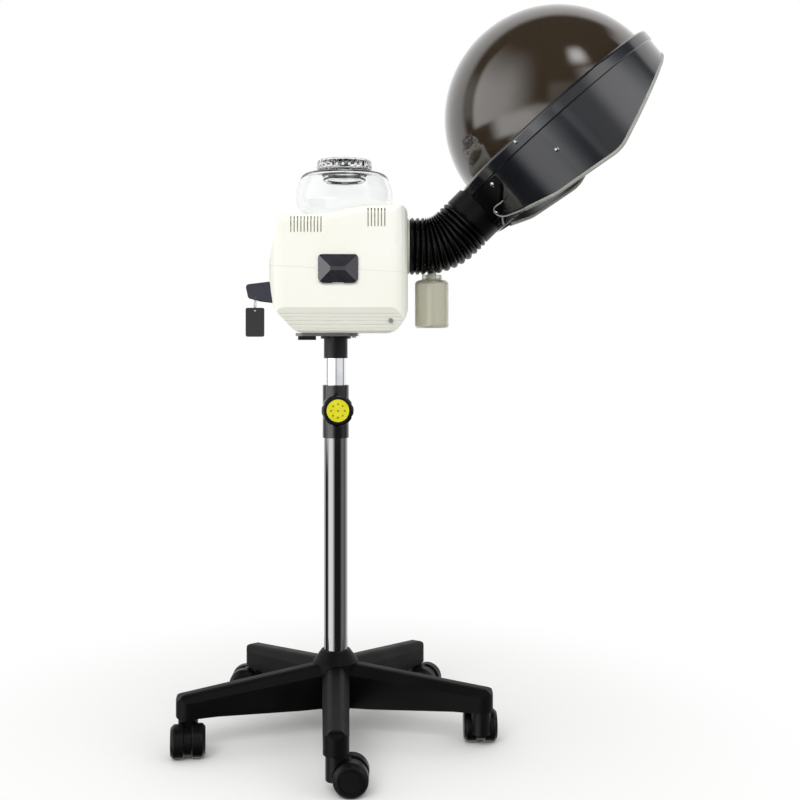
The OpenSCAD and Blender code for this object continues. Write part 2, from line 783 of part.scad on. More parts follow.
// CONTROLS
panel_t = 2;
panel_face = panel_depth - panel_t - slip;
timer_y = -30;
timer_t = 10;
timer_shaft_r = 4;
rocker_y = 20;
lamp_y = 46;
lamp_r = 4;
module control_panel() {
    color("#2b2b2e") at_panel() translate([panel_face, 0, 0]) difference() {
        translate([0, -panel_w / 2 + 1, -panel_h / 2 + 1]) cube([panel_t, panel_w - 2, panel_h - 2]);
        translate([-1, timer_y, 0]) rod_x(timer_shaft_r + run, 10);
        translate([-1, rocker_y - rocker_w / 2 - 0.2, -rocker_h / 2 - 1.7])
            cube([10, rocker_w + 0.4, rocker_h + 3.4]);
        translate([-1, lamp_y, 0]) rod_x(lamp_r + 0.1, 10);
    }
}
module timer_knob() {
    r = timer_d / 2;
    color("#d9d9d4") at_panel() translate([panel_face - seat, timer_y, 0]) {
        rotate([0, -90, 0]) difference() {
            rotate_extrude() polygon(rounded([[0, 0], [r, 0], [r - 1, timer_t], [0, timer_t]], [0, 1, 2, 0]));
            for (i = [0:11]) rotate([0, 0, 30 * i])
                translate([r + 1.6, 0, 2]) cylinder(r = 2.6, h = 20, $fn = 24);
            translate([r / 2, -0.8, timer_t - 1]) cube([r, 1.6, 3]);
        }
        rod_x(timer_shaft_r, 6);
    }
}
// The rocker's outline from the side, and how far it rests pressed in at its upper end
rocker_turn = 8;
rocker_w = 14;
rocker_h = 18;
module power_rocker() {
    h = rocker_h / 2;
    color(c_black) at_panel() translate([panel_depth + 1, rocker_y, 0]) rotate([0, -rocker_turn, 0])
        side_prism([[-6.4, -h], [-3.4, 0], [-6.4, h], [1.5, h + 0.4], [1.5, -h - 0.4]], rocker_w);
}
module pilot_lamp() {
    color("#c8402a") at_panel() translate([panel_face, lamp_y, 0]) {
        rod_x(lamp_r, 8);
        rotate([0, -90, 0]) cylinder(r1 = lamp_r + 1, r2 = lamp_r - 0.5, h = 2.5);
    }
}

// BOILER
boiler_x = 10;
boiler_r = 44;
boiler_floor = case_floor + case_wall;
boiler_h = 66;
boiler_top = boiler_floor + boiler_h;
module boiler_tank() {
    color(c_steel) translate([boiler_x, 0, boiler_floor]) difference() {
        cylinder(r = boiler_r, h = boiler_h);
        translate([0, 0, 4]) cylinder(r = boiler_r - 2, h = boiler_h);
        translate([-boiler_r - 2, -14, 20]) rod_x(3.2 + run, 20);
        translate([-boiler_r - 2, 14, 20]) rod_x(3.2 + run, 20);
    }
}
module boiler_lid() {
    color(c_steel) difference() {
        union() {
            translate([boiler_x, 0, boiler_top]) cylinder(r = boiler_r, h = 5);
            translate([boiler_x, 0, boiler_top - 4]) cylinder(r = boiler_r - 2 - run, h = 4);
        }
        translate([jar_x, 0, 600]) cylinder(r = 6 + run, h = 200);
        translate([pipe_x, 0, 600]) cylinder(r = pipe_r + run, h = 200);
    }
}
module heating_element() {
    leg = 52;
    color("#8d6f5e") translate([boiler_x - boiler_r - 8, 0, boiler_floor + 20]) {
        for (s = [-1, 1]) translate([0, s * 14, 0]) rod_x(3.2, leg);
        translate([leg, 0, 0]) rotate([0, 0, -90])
            rotate_extrude(angle = 180) translate([14, 0]) circle(r = 3.2, $fn = 24);
    }
}
module feed_tube() {
    color("#d8d8d8") difference() {
        union() {
            translate([jar_x, 0, boiler_floor + 12]) cylinder(r = 6, h = jar_floor - 3 - boiler_floor - 12);
            translate([jar_x, 0, jar_floor - 8]) cylinder(r = 9, h = 8);
        }
        translate([jar_x, 0, boiler_floor]) cylinder(r = 4, h = 300);
    }
}
pipe_r = steam_r - 2;
pipe_x = boiler_x + 30;
pipe_turn = 20;
// The pipe's outline, or its bore when d is the wall
module pipe_run(r) {
    translate([pipe_x, 0, boiler_top - 6]) cylinder(r = r, h = hose_z - pipe_turn - boiler_top + 6);
    translate([pipe_x + pipe_turn, 0, hose_z - pipe_turn]) rotate([90, 0, 0]) rotate([0, 0, 90])
        rotate_extrude(angle = 90) translate([pipe_turn, 0]) circle(r = r, $fn = 32);
    translate([pipe_x + pipe_turn, 0, hose_z]) rod_x(r, case_right + 2 - pipe_x - pipe_turn);
}
module steam_pipe() {
    color(c_steel) difference() {
        pipe_run(pipe_r);
        pipe_run(pipe_r - 1.5);
        translate([pipe_x, 0, boiler_top - 8]) cylinder(r = pipe_r - 1.5, h = 8);
        translate([case_right, 0, hose_z]) rod_x(pipe_r - 1.5, 8);
    }
}

// WATER JAR
jar_r = jar_d / 2;
jar_side = [
    [0, jar_floor], [50, jar_floor], [66, jar_floor + 34], [jar_r, jar_floor + 49], [jar_r, jar_floor + 70],
    [jar_r - 8, jar_floor + 95], [mouth_d / 2 + 7, jar_floor + 102],
    [mouth_d / 2 + 7, jar_floor + 104], [0, jar_floor + 104]
];
jar_side_r = [0, 8, 30, 12, 26, 12, 1.5, 0, 0];
jar_top = jar_floor + 104;
module water_jar() {
    color("#dfe6e8", 0.35) translate([jar_x, 0, 0]) difference() {
        rotate_extrude() polygon(rounded(jar_side, jar_side_r));
        rotate_extrude() polygon(rounded(concat(
            [[0, jar_floor + jar_wall + 1]],
            [for (i = [1:5]) inset(jar_side, jar_wall)[i]],
            [[mouth_d / 2, jar_floor + 102 - jar_wall], [mouth_d / 2, jar_top + 5], [0, jar_top + 5]]
        ), [0, 6, 27, 9, 23, 9, 1, 0, 0]));
        translate([0, 0, jar_floor - 1]) cylinder(r = 7, h = 10);
    }
}
plug_r = mouth_d / 2 - 3;
plug_h = 18;
seal_t = 4.8;
seal_in = 1.5;
ring_r = 1.2;
vent_r = 8;
// Foot of the flat seal and middle of the thin ring, both from the jar's top
seal_foot = -9.9;
ring_z = 2.2 - plug_h;
module jar_lid() {
    color("#e6ecee", 0.4) translate([jar_x, 0, jar_top]) difference() {
        union() {
            rotate_extrude() polygon(rounded([
                [0, 0], [lid_d / 2 - 3, 0], [lid_d / 2, 4], [lid_d / 2 - 1, lid_t], [0, lid_t]
            ], [0, 1, 3, 4, 0]));
            translate([0, 0, -plug_h]) cylinder(r = plug_r, h = plug_h);
        }
        // flutes round the rim
        for (i = [0 : lid_flutes - 1]) rotate([0, 0, 360 / lid_flutes * i])
            translate([lid_d / 2 + 1.9, 0, 2]) cylinder(r = 3, h = lid_t, $fn = 24);
        // grooves for the flat seal and the thin ring
        translate([0, 0, seal_foot - slip]) difference() {
            cylinder(r = plug_r + 1, h = seal_t + 2 * slip);
            translate([0, 0, -1]) cylinder(r = plug_r - seal_in, h = seal_t + 4);
        }
        translate([0, 0, ring_z]) rotate_extrude() translate([plug_r, 0]) circle(r = ring_r + run, $fn = 24);
        // seat of the vent plug, and the hollow under it that saves material
        translate([0, 0, lid_t - 3]) cylinder(r = vent_r + run, h = 5);
        translate([0, 0, -plug_h - 1]) cylinder(r = plug_r - 6, h = plug_h + 5);
    }
}
module lid_seals() {
    color("#1a1a1a") translate([jar_x, 0, jar_top]) {
        translate([0, 0, seal_foot]) difference() {
            cylinder(r = mouth_d / 2 - seat, h = seal_t);
            translate([0, 0, -1]) cylinder(r = plug_r - seal_in + run, h = seal_t + 2);
        }
        translate([0, 0, ring_z]) rotate_extrude() translate([plug_r, 0]) circle(r = ring_r, $fn = 24);
        translate([0, 0, lid_t - 3]) cylinder(r = vent_r, h = 3.4);
    }
}

// STEAM OUTLET, HOSE AND DRIP BOTTLE
flange_t = 3;
flange_r = 44;
hose_start = case_right + flange_t;
spigot_r = hose_bore / 2 - seat;
drip_x = 154;
drip_r = 7;
neck_top = 735;
bend_x = 172;
bend_turn = 45;
bend_in = bend_r * tan(bend_turn / 2);
// Where the middle of the hose meets the skirt
hood_c = [351, 0, 982];
function hood_point(x, z) = [
    hood_c.x + x * cos(hood_lean) - z * sin(hood_lean),
    hood_c.z + x * sin(hood_lean) + z * cos(hood_lean)
];
// How far below the seam that is
skirt_hit = (hood_c.z - skirt_r * sin(hood_lean) - hose_z
             - tan(bend_turn) * (hood_c.x - skirt_r * cos(hood_lean) - bend_x))
            / (cos(hood_lean) + tan(bend_turn) * sin(hood_lean));
hit = hood_point(-skirt_r, -skirt_hit);
hose_run = norm(hit - [bend_x, hose_z]) - 12;
// Plain end of the hose, which goes into the collar
cuff_len = 16;
cuff_r = hose_d / 2 - rib_depth;
hose_lens = [bend_x - bend_in - hose_start - slip, PI * bend_r * bend_turn / 180, hose_run - bend_in];
hose_len = hose_lens[0] + hose_lens[1] + hose_lens[2];
// Place and heading of the hose's middle line at length s
function hose_at(s) =
    s < hose_lens[0] ? [hose_start + slip + s, hose_z, 0] :
    s < hose_lens[0] + hose_lens[1] ?
        let(a = (s - hose_lens[0]) / hose_lens[1] * bend_turn)
        [bend_x - bend_in + bend_r * sin(a), hose_z + bend_r * (1 - cos(a)), a] :
    let(d = s - hose_lens[0] - hose_lens[1] + bend_in)
    [bend_x + d * cos(bend_turn), hose_z + d * sin(bend_turn), bend_turn];
// Ring of points round the middle line
function hose_ring(s, r) =
    let(p = hose_at(s))
    [for (k = [0 : hose_sides - 1])
        let(a = 360 * (k + 0.5) / hose_sides, u = r * cos(a))
        [p.x - u * sin(p.z), r * sin(a), p.y + u * cos(p.z)]];
module ring_tube(rings) {
    n = hose_sides;
    m = len(rings);
    polyhedron(
        points = [for (r = rings) each r],
        faces = [for (j = [0 : m - 1], k = [0 : n - 1], h = [0, 1])
            let(a = j * n, b = (j + 1) % m * n, l = (k + 1) % n)
            h == 0 ? [a + k, b + k, b + l] : [a + k, b + l, a + l]]
    );
}
module steam_hose() {
    crest = hose_d / 2;
    root = cuff_r;
    // the ring's flats, not its corners, measure the bore
    bore_r = hose_bore / 2 / cos(180 / hose_sides);
    pitch = (hose_len - cuff_len) / rib_count;
    outside = [for (i = [0 : rib_count - 1])
        each [hose_ring(i * pitch + 0.01, root), hose_ring((i + 0.5) * pitch, crest)]];
    cuff = [hose_ring(hose_len - cuff_len, root), hose_ring(hose_len, root), hose_ring(hose_len, bore_r)];
    bore = [for (i = [rib_count : -1 : 0]) hose_ring(i * pitch + (i == 0 ? 0.01 : 0), bore_r)];
    color("#17171a") difference() {
        ring_tube(concat(outside, cuff, bore));
        translate([drip_x, 0, neck_top - 20]) cylinder(r = drip_r + 0.4, h = 34, $fn = 24);
    }
}
module outlet_adaptor() {
    color("#e4e3d6") difference() {
        union() {
            translate([case_right + slip, 0, hose_z]) rod_x(flange_r, flange_t - slip);
            translate([hose_start - 1, 0, hose_z]) rod_x(spigot_r, 18);
            // trough that catches what condenses
            intersection() {
                translate([hose_start - 1, 0, hose_z]) rod_x(spigot_r - 2.5, 46);
                translate([0, -40, hose_z - 60]) cube([300, 80, 34]);
            }
            translate([drip_x, 0, neck_top - 14]) cylinder(r = drip_r, h = 24);
        }
        translate([case_right - 1, 0, hose_z]) rod_x(outlet_bore, 100);
        translate([drip_x, 0, neck_top - 30]) cylinder(r = drip_r - 2, h = 60);
    }
}
module drip_bottle() {
    b = bottle_d / 2;
    z1 = neck_top - 10;
    outside = [
        [0, z1 - bottle_h], [b, z1 - bottle_h], [b, z1 - 3], [16, z1], [16, neck_top - 3], [0, neck_top - 3]
    ];
    color("#b9b592", 0.8) translate([drip_x, 0, 0]) difference() {
        rotate_extrude() polygon(rounded(outside, [0, 5, 6, 2, 1, 0]));
        rotate_extrude() polygon(rounded([
            [0, z1 - bottle_h + 2], [b - 2, z1 - bottle_h + 2], [b - 2, z1 - 5],
            [drip_r + run, z1 - 2], [drip_r + run, neck_top], [0, neck_top]
        ], [0, 4, 5, 2, 0, 0]));
    }
}

// ARM INSIDE THE HOSE
arm_t = 8;
fork_t = 6;
pin_r = 5;
arm_h = 26;
spider_t = 5;
spider_x = hose_start + 2;
outlet_bore = spigot_r - 5.5;
module lower_arm() {
    color(c_steel) difference() {
        union() {
            // spoked disc that sits in the outlet, and lets the steam by
            translate([spider_x, 0, hose_z]) difference() {
                rod_x(outlet_bore - run, spider_t);
                for (a = [0 : 90 : 270]) rotate([a, 0, 0]) translate([-1, 0, 21.5]) rod_x(8.5, spider_t + 2);
            }
            for (s = [-1, 1]) {
                translate([(spider_x + 2 + bend_x) / 2, s * (arm_t / 2 + slip + fork_t / 2), hose_z])
                    cube([bend_x - spider_x - 2, fork_t, arm_h], center = true);
                translate([bend_x, s * (arm_t / 2 + slip + fork_t / 2), hose_z]) rod_y(arm_h / 2, fork_t);
            }
        }
        translate([bend_x, 0, hose_z]) rod_y(pin_r + run, 60);
    }
}
module arm_pin() {
    l = arm_t + 2 * slip + 2 * fork_t;
    color("#8a8d90") translate([bend_x, 0, hose_z]) {
        rod_y(pin_r, l);
        for (s = [-1, 1]) translate([0, s * (l / 2 + 1.5), 0]) rod_y(pin_r + 3, 3);
    }
}
module along_hose() {
    translate([bend_x, 0, hose_z]) rotate([0, -bend_turn, 0]) children();
}
module in_hood() {
    translate(hood_c) rotate([0, -hood_lean, 0]) children();
}
taper = 4;
skirt_low = 140;
flange_out = 2;
flange_foot = 10.4;
plate_out = 4;
collar_len = 14;
collar_wall = 3.5;
hood_reach = 200;
module upper_arm() {
    color(c_steel) difference() {
        along_hose() {
            rod_y(arm_h / 2, arm_t);
            translate([0, -arm_t / 2, -arm_h / 2]) cube([hose_run + 4, arm_t, arm_h]);
        }
        along_hose() rod_y(pin_r + run, 60);
    }
}
// Outline of the bracket's plate, seen along the hood's own x
saddle_top = -11;
saddle_foot = saddle_top - saddle_h;
saddle_side = rounded([
    [-saddle_w / 2 + 45, saddle_foot], [saddle_w / 2 - 45, saddle_foot],
    [saddle_w / 2, saddle_top - 20], [saddle_w / 2, saddle_top],
    [-saddle_w / 2, saddle_top], [-saddle_w / 2, saddle_top - 20]
], [10, 10, 14, 3, 3, 14]);
steam_way_r = 22;
steam_drop = 8;
module hood_saddle() {
    color(c_black) difference() {
        union() {
            in_hood() intersection() {
                translate([0, 0, saddle_foot]) cylinder(r = skirt_r + plate_out, h = saddle_h, $fn = 96);
                rotate([90, 0, -90]) linear_extrude(hood_reach) polygon(saddle_side);
            }
            along_hose() translate([hose_run - collar_len, 0, 0])
                rod_x(cuff_r + seat + collar_wall, collar_len + 40);
        }
        // hollowed to the skirt and to its flange
        in_hood() rotate_extrude($fn = 96) polygon([
            [0, -skirt_low], [skirt_r - taper + slip, -skirt_low],
            [skirt_r + slip, -flange_foot], [skirt_r + flange_out + slip, -flange_foot],
            [skirt_r + flange_out + slip, hood_reach], [0, hood_reach]
        ]);
        // socket for the hose, and the way in for the steam
        along_hose() {
            translate([hose_run - cuff_len - 4, 0, 0]) rod_x(cuff_r + seat, cuff_len + 4 + slip);
            translate([hose_run - 1, 0, -steam_drop]) difference() {
                rod_x(steam_way_r - 1, 60);
                translate([-1, -arm_t / 2 - 3, -40]) cube([62, arm_t + 6, 80]);
            }
            translate([hose_run - 2, -arm_t / 2, -arm_h / 2]) cube([6, arm_t, arm_h]);
        }
    }
}

// HOOD
// Lower edge of the skirt, from the back to the front
skirt_edge = [
    [-skirt_r - 10, 1.5 - skirt_back], [-0.8 * skirt_r, -skirt_back - 2.5],
    [-0.56 * skirt_r, 10 - skirt_side], [0, -skirt_side - 2],
    [skirt_r, -skirt_front], [skirt_r + 10, 4 - skirt_front]
];
module under_edge(d) {
    pts = [for (p = skirt_edge) p + [0, d]];
    below = [[skirt_r + 10, -200], [-skirt_r - 10, -200]];
    side_prism(rounded(concat(pts, below), [0, 40, 60, 60, 0, 0, 0, 0], 6), 2 * skirt_r + 40);
}
bead_h = 10;
module skirt_wall(out, in) {
    rotate_extrude($fn = 96) polygon([
        [skirt_r - taper - hood_wall - in, -skirt_low], [skirt_r - taper + out, -skirt_low],
        [skirt_r + out, 0], [skirt_r - hood_wall - in, 0]
    ]);
}
module hood_skirt() {
    color(c_slate) difference() {
        in_hood() difference() {
            union() {
                skirt_wall(0, 0);
                // flange that holds the dome
                rotate_extrude($fn = 96) polygon(rounded([
                    [dome_r - 8, -3], [skirt_r - 1, -10], [skirt_r + flange_out, -8],
                    [skirt_r + flange_out, bead_h - 3],
                    [skirt_r - 1, bead_h], [dome_r + seat, bead_h], [dome_r + seat, 0], [dome_r - 8, 0]
                ], [0, 0, 1, 3, 3, 0.5, 0, 0]));
            }
            under_edge(0);
        }
        along_hose() translate([hose_run, 0, -steam_drop]) rod_x(steam_way_r, 60);
    }
}
module hood_dome() {
    n = 14;
    a = dome_r;
    b = dome_h;
    w = hood_wall;
    color(c_smoke, 0.75) in_hood() rotate_extrude($fn = 96) polygon(concat(
        [for (i = [0:n]) [a * cos(90 * i / n), b * sin(90 * i / n)]],
        [for (i = [n:-1:0]) [(a - w) * cos(90 * i / n), (b - w) * sin(90 * i / n)]]
    ));
}
module edge_bead() {
    color("#c9cbc9") in_hood() difference() {
        skirt_wall(1.6, 1.6);
        difference() {
            skirt_wall(seat / 2, seat / 2);
            under_edge(-slip);
        }
        under_edge(-3);
        difference() {
            translate([-300, -300, -300]) cube([600, 600, 400]);
            under_edge(4);
        }
        // bare at the back, under the hose
        translate([-400, -200, -200]) cube([400 - 0.8 * skirt_r, 400, 400]);
    }
}
// Angle round the hood and height of the screws in the saddle, in the flange and in the skirt
saddle_screw_at = [for (s = [-1, 1]) each [[180 + s * 33, -19], [180 + s * 21, saddle_foot + 8]]];
flange_screw_at = [for (s = [-1, 1]) [s * 123, 2.5]];
skirt_screw_at = [for (s = [-1, 1]) [s * 111.5, -45.6]];
module dome_head(at, r, out) {
    rotate([0, 0, at.x]) translate([out, 0, at.y]) rotate([0, 90, 0]) rotate_extrude()
        polygon(concat([[0, 0], [r, 0]], arc([0, -r * 0.9], r * 1.345, 42, 90, 5)));
}
module hood_screws() {
    color(c_steel) in_hood() {
        for (p = saddle_screw_at) dome_head(p, 4, skirt_r + plate_out + 0.02);
        for (p = flange_screw_at) dome_head(p, 3.4, skirt_r + flange_out + 0.02);
        for (p = skirt_screw_at) dome_head(p, 3.4, skirt_r + taper * (p.y + 3.4) / skirt_low + 0.02);
    }
}
module steam_diffuser() {
    color(c_slate) difference() {
        along_hose() translate([hose_run + 10, 0, -steam_drop]) difference() {
            rod_x(steam_way_r + 2, 32);
            translate([-1, 0, 0]) rod_x(steam_way_r, 30);
            for (i = [0:5]) rotate([60 * i, 0, 0]) translate([25, 0, 13]) rod_x(3.4, 10);
            translate([25, 0, 0]) rod_x(4.4, 10);
        }
        in_hood() difference() {
            translate([0, 0, -300]) cylinder(r = 400, h = 400);
            rotate_extrude($fn = 96) polygon([
                [0, -skirt_low], [skirt_r - taper - hood_wall - slip, -skirt_low],
                [skirt_r - hood_wall - slip, 0], [0, 0]
            ]);
        }
    }
}

star_base();
column_bolt();
outer_tube();
guide_bush();
clamp_sleeve();
brake_pad();
clamp_stud();
clamp_knob();
knob_disc();
inner_tube();
tube_socket();
base_plate();
lower_shell();
upper_shell();
shell_screws();
side_catch_near();
side_catch_far();
handle();
tag_ring();
tag();
cord_gland();
control_panel();
timer_knob();
power_rocker();
pilot_lamp();
boiler_tank();
boiler_lid();
heating_element();
feed_tube();
steam_pipe();
water_jar();
jar_lid();
lid_seals();
outlet_adaptor();
drip_bottle();
steam_hose();
lower_arm();
upper_arm();
arm_pin();
hood_saddle();
hood_skirt();
hood_dome();
edge_bead();
hood_screws();
steam_diffuser();
for (i = [1:5]) {
    at_castor(i) castor_frame_shape();
    at_castor(i) castor_wheel_shape(1);
    at_castor(i) castor_wheel_shape(-1);
}
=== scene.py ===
"""The looks of a salon hair steamer: smoked hood, ribbed hose, cream steam generator and castor stand.

Lengths in the classes are millimetres, as on a workshop drawing, and MM turns them into metres.
The stand's column rises from the origin along +Z, and the hood reaches out towards +X.
Every shape is a grid of points worked out with numpy: a profile turned about an axis, or a section
carried along a path. The construction's own pieces stay where they are and get their finishes here.
"""

from __future__ import annotations

import json
import logging
import math
from dataclasses import dataclass
from enum import Enum
from typing import Any, ClassVar, Sequence

import bmesh
import bpy
import numpy as np
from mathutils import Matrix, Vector

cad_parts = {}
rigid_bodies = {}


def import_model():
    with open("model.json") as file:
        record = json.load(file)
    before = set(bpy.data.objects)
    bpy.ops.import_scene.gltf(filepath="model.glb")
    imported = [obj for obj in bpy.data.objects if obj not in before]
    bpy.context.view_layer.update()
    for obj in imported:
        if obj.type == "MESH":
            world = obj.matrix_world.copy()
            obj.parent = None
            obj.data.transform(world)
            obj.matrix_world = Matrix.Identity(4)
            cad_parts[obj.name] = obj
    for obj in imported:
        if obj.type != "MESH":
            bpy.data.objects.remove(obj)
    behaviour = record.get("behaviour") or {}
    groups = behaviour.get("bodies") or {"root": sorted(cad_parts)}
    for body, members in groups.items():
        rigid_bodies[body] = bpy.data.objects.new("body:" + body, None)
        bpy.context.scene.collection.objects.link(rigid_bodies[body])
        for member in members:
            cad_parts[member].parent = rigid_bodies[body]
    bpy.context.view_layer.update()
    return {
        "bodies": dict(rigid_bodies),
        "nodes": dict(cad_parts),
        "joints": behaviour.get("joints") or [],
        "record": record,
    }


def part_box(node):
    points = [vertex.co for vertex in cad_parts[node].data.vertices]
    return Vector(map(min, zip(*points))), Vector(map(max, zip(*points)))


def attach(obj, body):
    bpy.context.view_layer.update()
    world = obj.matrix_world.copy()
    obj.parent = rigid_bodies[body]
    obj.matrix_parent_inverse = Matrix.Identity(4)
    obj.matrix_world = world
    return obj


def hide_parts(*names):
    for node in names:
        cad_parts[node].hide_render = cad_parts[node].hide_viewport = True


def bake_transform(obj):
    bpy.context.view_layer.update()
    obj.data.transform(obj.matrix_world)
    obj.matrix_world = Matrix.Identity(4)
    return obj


# Short names for types that are used throughout
Object = bpy.types.Object
Tree = bpy.types.NodeTree
Pair = tuple[float, float]
Point = tuple[float, float, float]
Four = tuple[float, float, float, float]

MM = 0.001
WHITE = (1.0, 1.0, 1.0, 1.0)
SMOOTH, BROAD, FINE, RICH = 1.0, 2.0, 3.0, 4.0  # octaves in a noise
ROUGH_SPAN = (0.3, 0.7)  # part of a noise that moves the roughness
TONE_SPAN = (0.35, 0.65)  # part of a noise that moves the colour
SOCKETS = {
    "ior": "IOR",
    "shine": "Specular IOR Level",
    "metallic": "Metallic",
    "see_through": "Transmission Weight",
    "polish": "Coat Weight",
    "polish_roughness": "Coat Roughness",
    "polish_ior": "Coat IOR",
}  # the shader's input for each field of a finish that has one
MERGE = 1e-6  # points closer than this, in metres, become one
CREASE = 35.0  # edges that turn by more than this, in degrees, stay sharp
CASTORS = 5
FIGURE_T = 0.15  # thickness of raised figures
FONT_SHARE = 1.4  # size of the type for figures 1 high
log = logging.getLogger("hair_steamer")


# Colours and shader nodes


def linear(code: str) -> Four:
    """Turns an sRGB hex colour into linear light.

    Args:
        code: Six hex digits after a hash mark.

    Returns:
        Red, green and blue in linear light, and an alpha of 1.
    """
    channels = [int(code[i : i + 2], 16) / 255 for i in (1, 3, 5)]
    red, green, blue = (c / 12.92 if c <= 0.04045 else ((c + 0.055) / 1.055) ** 2.4 for c in channels)
    return red, green, blue, 1.0


def add_node(tree: Tree, kind: str, inputs: dict[Any, Any] | None = None, **settings: Any) -> Any:
    """Adds a node, sets its properties, and fills or links its inputs.

    Args:
        tree: Node tree that gets the node.
        kind: Blender's name for the type of node.
        inputs: Value for each input, by name or index. A socket is linked, and a node through its first output.
        **settings: Values for the node's own properties.

    Returns:
        The new node.
    """
    node = tree.nodes.new(kind)
    for key, value in settings.items():
        setattr(node, key, value)
    for key, value in (inputs or {}).items():
        source = value.outputs[0] if isinstance(value, bpy.types.Node) else value
        if isinstance(source, bpy.types.NodeSocket):
            tree.links.new(source, node.inputs[key])
        else:
            node.inputs[key].default_value = value
    return node


def per_metre(size_mm: float) -> float:
    """Texture scale at which one cell of a pattern measures size_mm."""
    return 1.0 / (size_mm * MM)


@dataclass(frozen=True)
class Finish:
    """A surface: the real material and process, sRGB colour, roughness, fine relief and patches.

    The relief's and the patches' sizes are in millimetres. In patches the colour drifts to the second one,
    if there is one, and the roughness moves up or down by the wear. Without depth the finish is plain.
    """

    name: str
    colour: str
    roughness: float
    relief_mm: float = 1.0
    depth_mm: float = 0.0
    drift: str = ""
    patch_mm: float = 25.0
    wear: float = 0.05
    relief_octaves: float = FINE
    patch_octaves: float = FINE

    def relief(self, tree: Tree, place: Any) -> Any:
        """Node with the height of the fine relief, from 0 to 1."""
        inputs = {"Vector": place, "Scale": per_metre(self.relief_mm), "Detail": self.relief_octaves}
        return add_node(tree, "ShaderNodeTexNoise", inputs)

    def pattern(self, tree: Tree, shader: Any) -> None:
        """Adds what varies over the surface.

        Where the noise of the patches crosses a span, the roughness goes from its least to its most and the
        colour from the first to the second. The relief is a bump of the depth times its noise.

        Args:
            tree: The material's node tree.
            shader: Its Principled BSDF.
        """
        place = add_node(tree, "ShaderNodeTexCoord").outputs["Object"]
        inputs = {"Vector": place, "Scale": per_metre(self.patch_mm), "Detail": self.patch_octaves}
        patches = add_node(tree, "ShaderNodeTexNoise", inputs)
        if self.drift:
            span = (patches, *TONE_SPAN, 0.0, 1.0)
            share = add_node(tree, "ShaderNodeMapRange", dict(enumerate(span)))
            colours = {0: share, 6: linear(self.colour), 7: linear(self.drift)}
            mixed = add_node(tree, "ShaderNodeMix", colours, data_type="RGBA")
            tree.links.new(mixed.outputs[2], shader.inputs["Base Color"])
        span = (patches, *ROUGH_SPAN, max(0.0, self.roughness - self.wear), self.roughness + self.wear)
        worn = add_node(tree, "ShaderNodeMapRange", dict(enumerate(span)))
        tree.links.new(worn.outputs[0], shader.inputs["Roughness"])
        inputs = {"Height": self.relief(tree, place), "Distance": self.depth_mm * MM, "Strength": 1.0}
        tree.links.new(add_node(tree, "ShaderNodeBump", inputs).outputs[0], shader.inputs["Normal"])

    def material(self) -> bpy.types.Material:
        """Makes the material once and hands it out after that.

        Returns:
            The material named after this finish.
        """
        found = bpy.data.materials.get(self.name)
        if found:
            return found
        made = bpy.data.materials.new(self.name)
        made.use_nodes = True
        made.diffuse_color = linear(self.colour)
        tree = made.node_tree
        tree.nodes.clear()
        inputs = {"Base Color": linear(self.colour), "Roughness": self.roughness}
        inputs.update({socket: getattr(self, field) for field, socket in SOCKETS.items() if hasattr(self, field)})
        shader = add_node(tree, "ShaderNodeBsdfPrincipled", inputs)
        add_node(tree, "ShaderNodeOutputMaterial", {"Surface": shader})
        if self.depth_mm:
            self.pattern(tree, shader)
        return made


@dataclass(frozen=True)
class MouldedPlastic(Finish):
    """Injection-moulded plastic. The eye sees the tool's fine spark-eroded grain and a faint drift in tone.

    The real grain is about 0.1 mm. It is drawn at 1 to 2 mm, as coarse as it needs to show.
    """

    relief_mm: float = 1.6
    depth_mm: float = 0.02
    patch_mm: float = 60.0
    patch_octaves: float = BROAD
    ior: float = 1.53
    shine: float = 0.5
    polish: float = 0.0
    polish_roughness: float = 0.06
    polish_ior: float = 1.5


@dataclass(frozen=True)
class LacqueredSteel(Finish):
    """Steel under stoved black lacquer. The eye sees a deep double gloss and a slight orange peel, 1 to 3 mm."""

    relief_mm: float = 3.0
    depth_mm: float = 0.008
    patch_mm: float = 45.0
    wear: float = 0.04
    relief_octaves: float = SMOOTH
    ior: float = 2.3
    polish: float = 1.0
    polish_roughness: float = 0.04
    polish_ior: float = 1.9


@dataclass(frozen=True)
class BareMetal(Finish):
    """Plated, drawn or zinc-coated metal. The eye sees fine lines from drawing or polishing, and dulled patches.

    The real lines are under 0.1 mm wide. They are drawn at about 1 mm, as coarse as they need to show.
    """

    relief_mm: float = 0.8
    depth_mm: float = 0.004
    patch_octaves: float = RICH
    metallic: float = 1.0
    along: Point = (1.0, 1.0, 0.04)

    def relief(self, tree: Tree, place: Any) -> Any:
        """Lines stretched along the tube."""
        drawn = add_node(tree, "ShaderNodeMapping", {"Vector": place, "Scale": self.along})
        return super().relief(tree, drawn)


@dataclass(frozen=True)
class ClearMoulding(Finish):
    """Clear or tinted see-through plastic. The eye sees bent light at the edges and faint moulding waves."""

    relief_mm: float = 30.0
    depth_mm: float = 0.05
    patch_mm: float = 18.0
    wear: float = 0.02
    relief_octaves: float = SMOOTH
    ior: float = 1.49
    see_through: float = 1.0
    polish: float = 0.0
    polish_roughness: float = 0.02
    polish_ior: float = 1.6


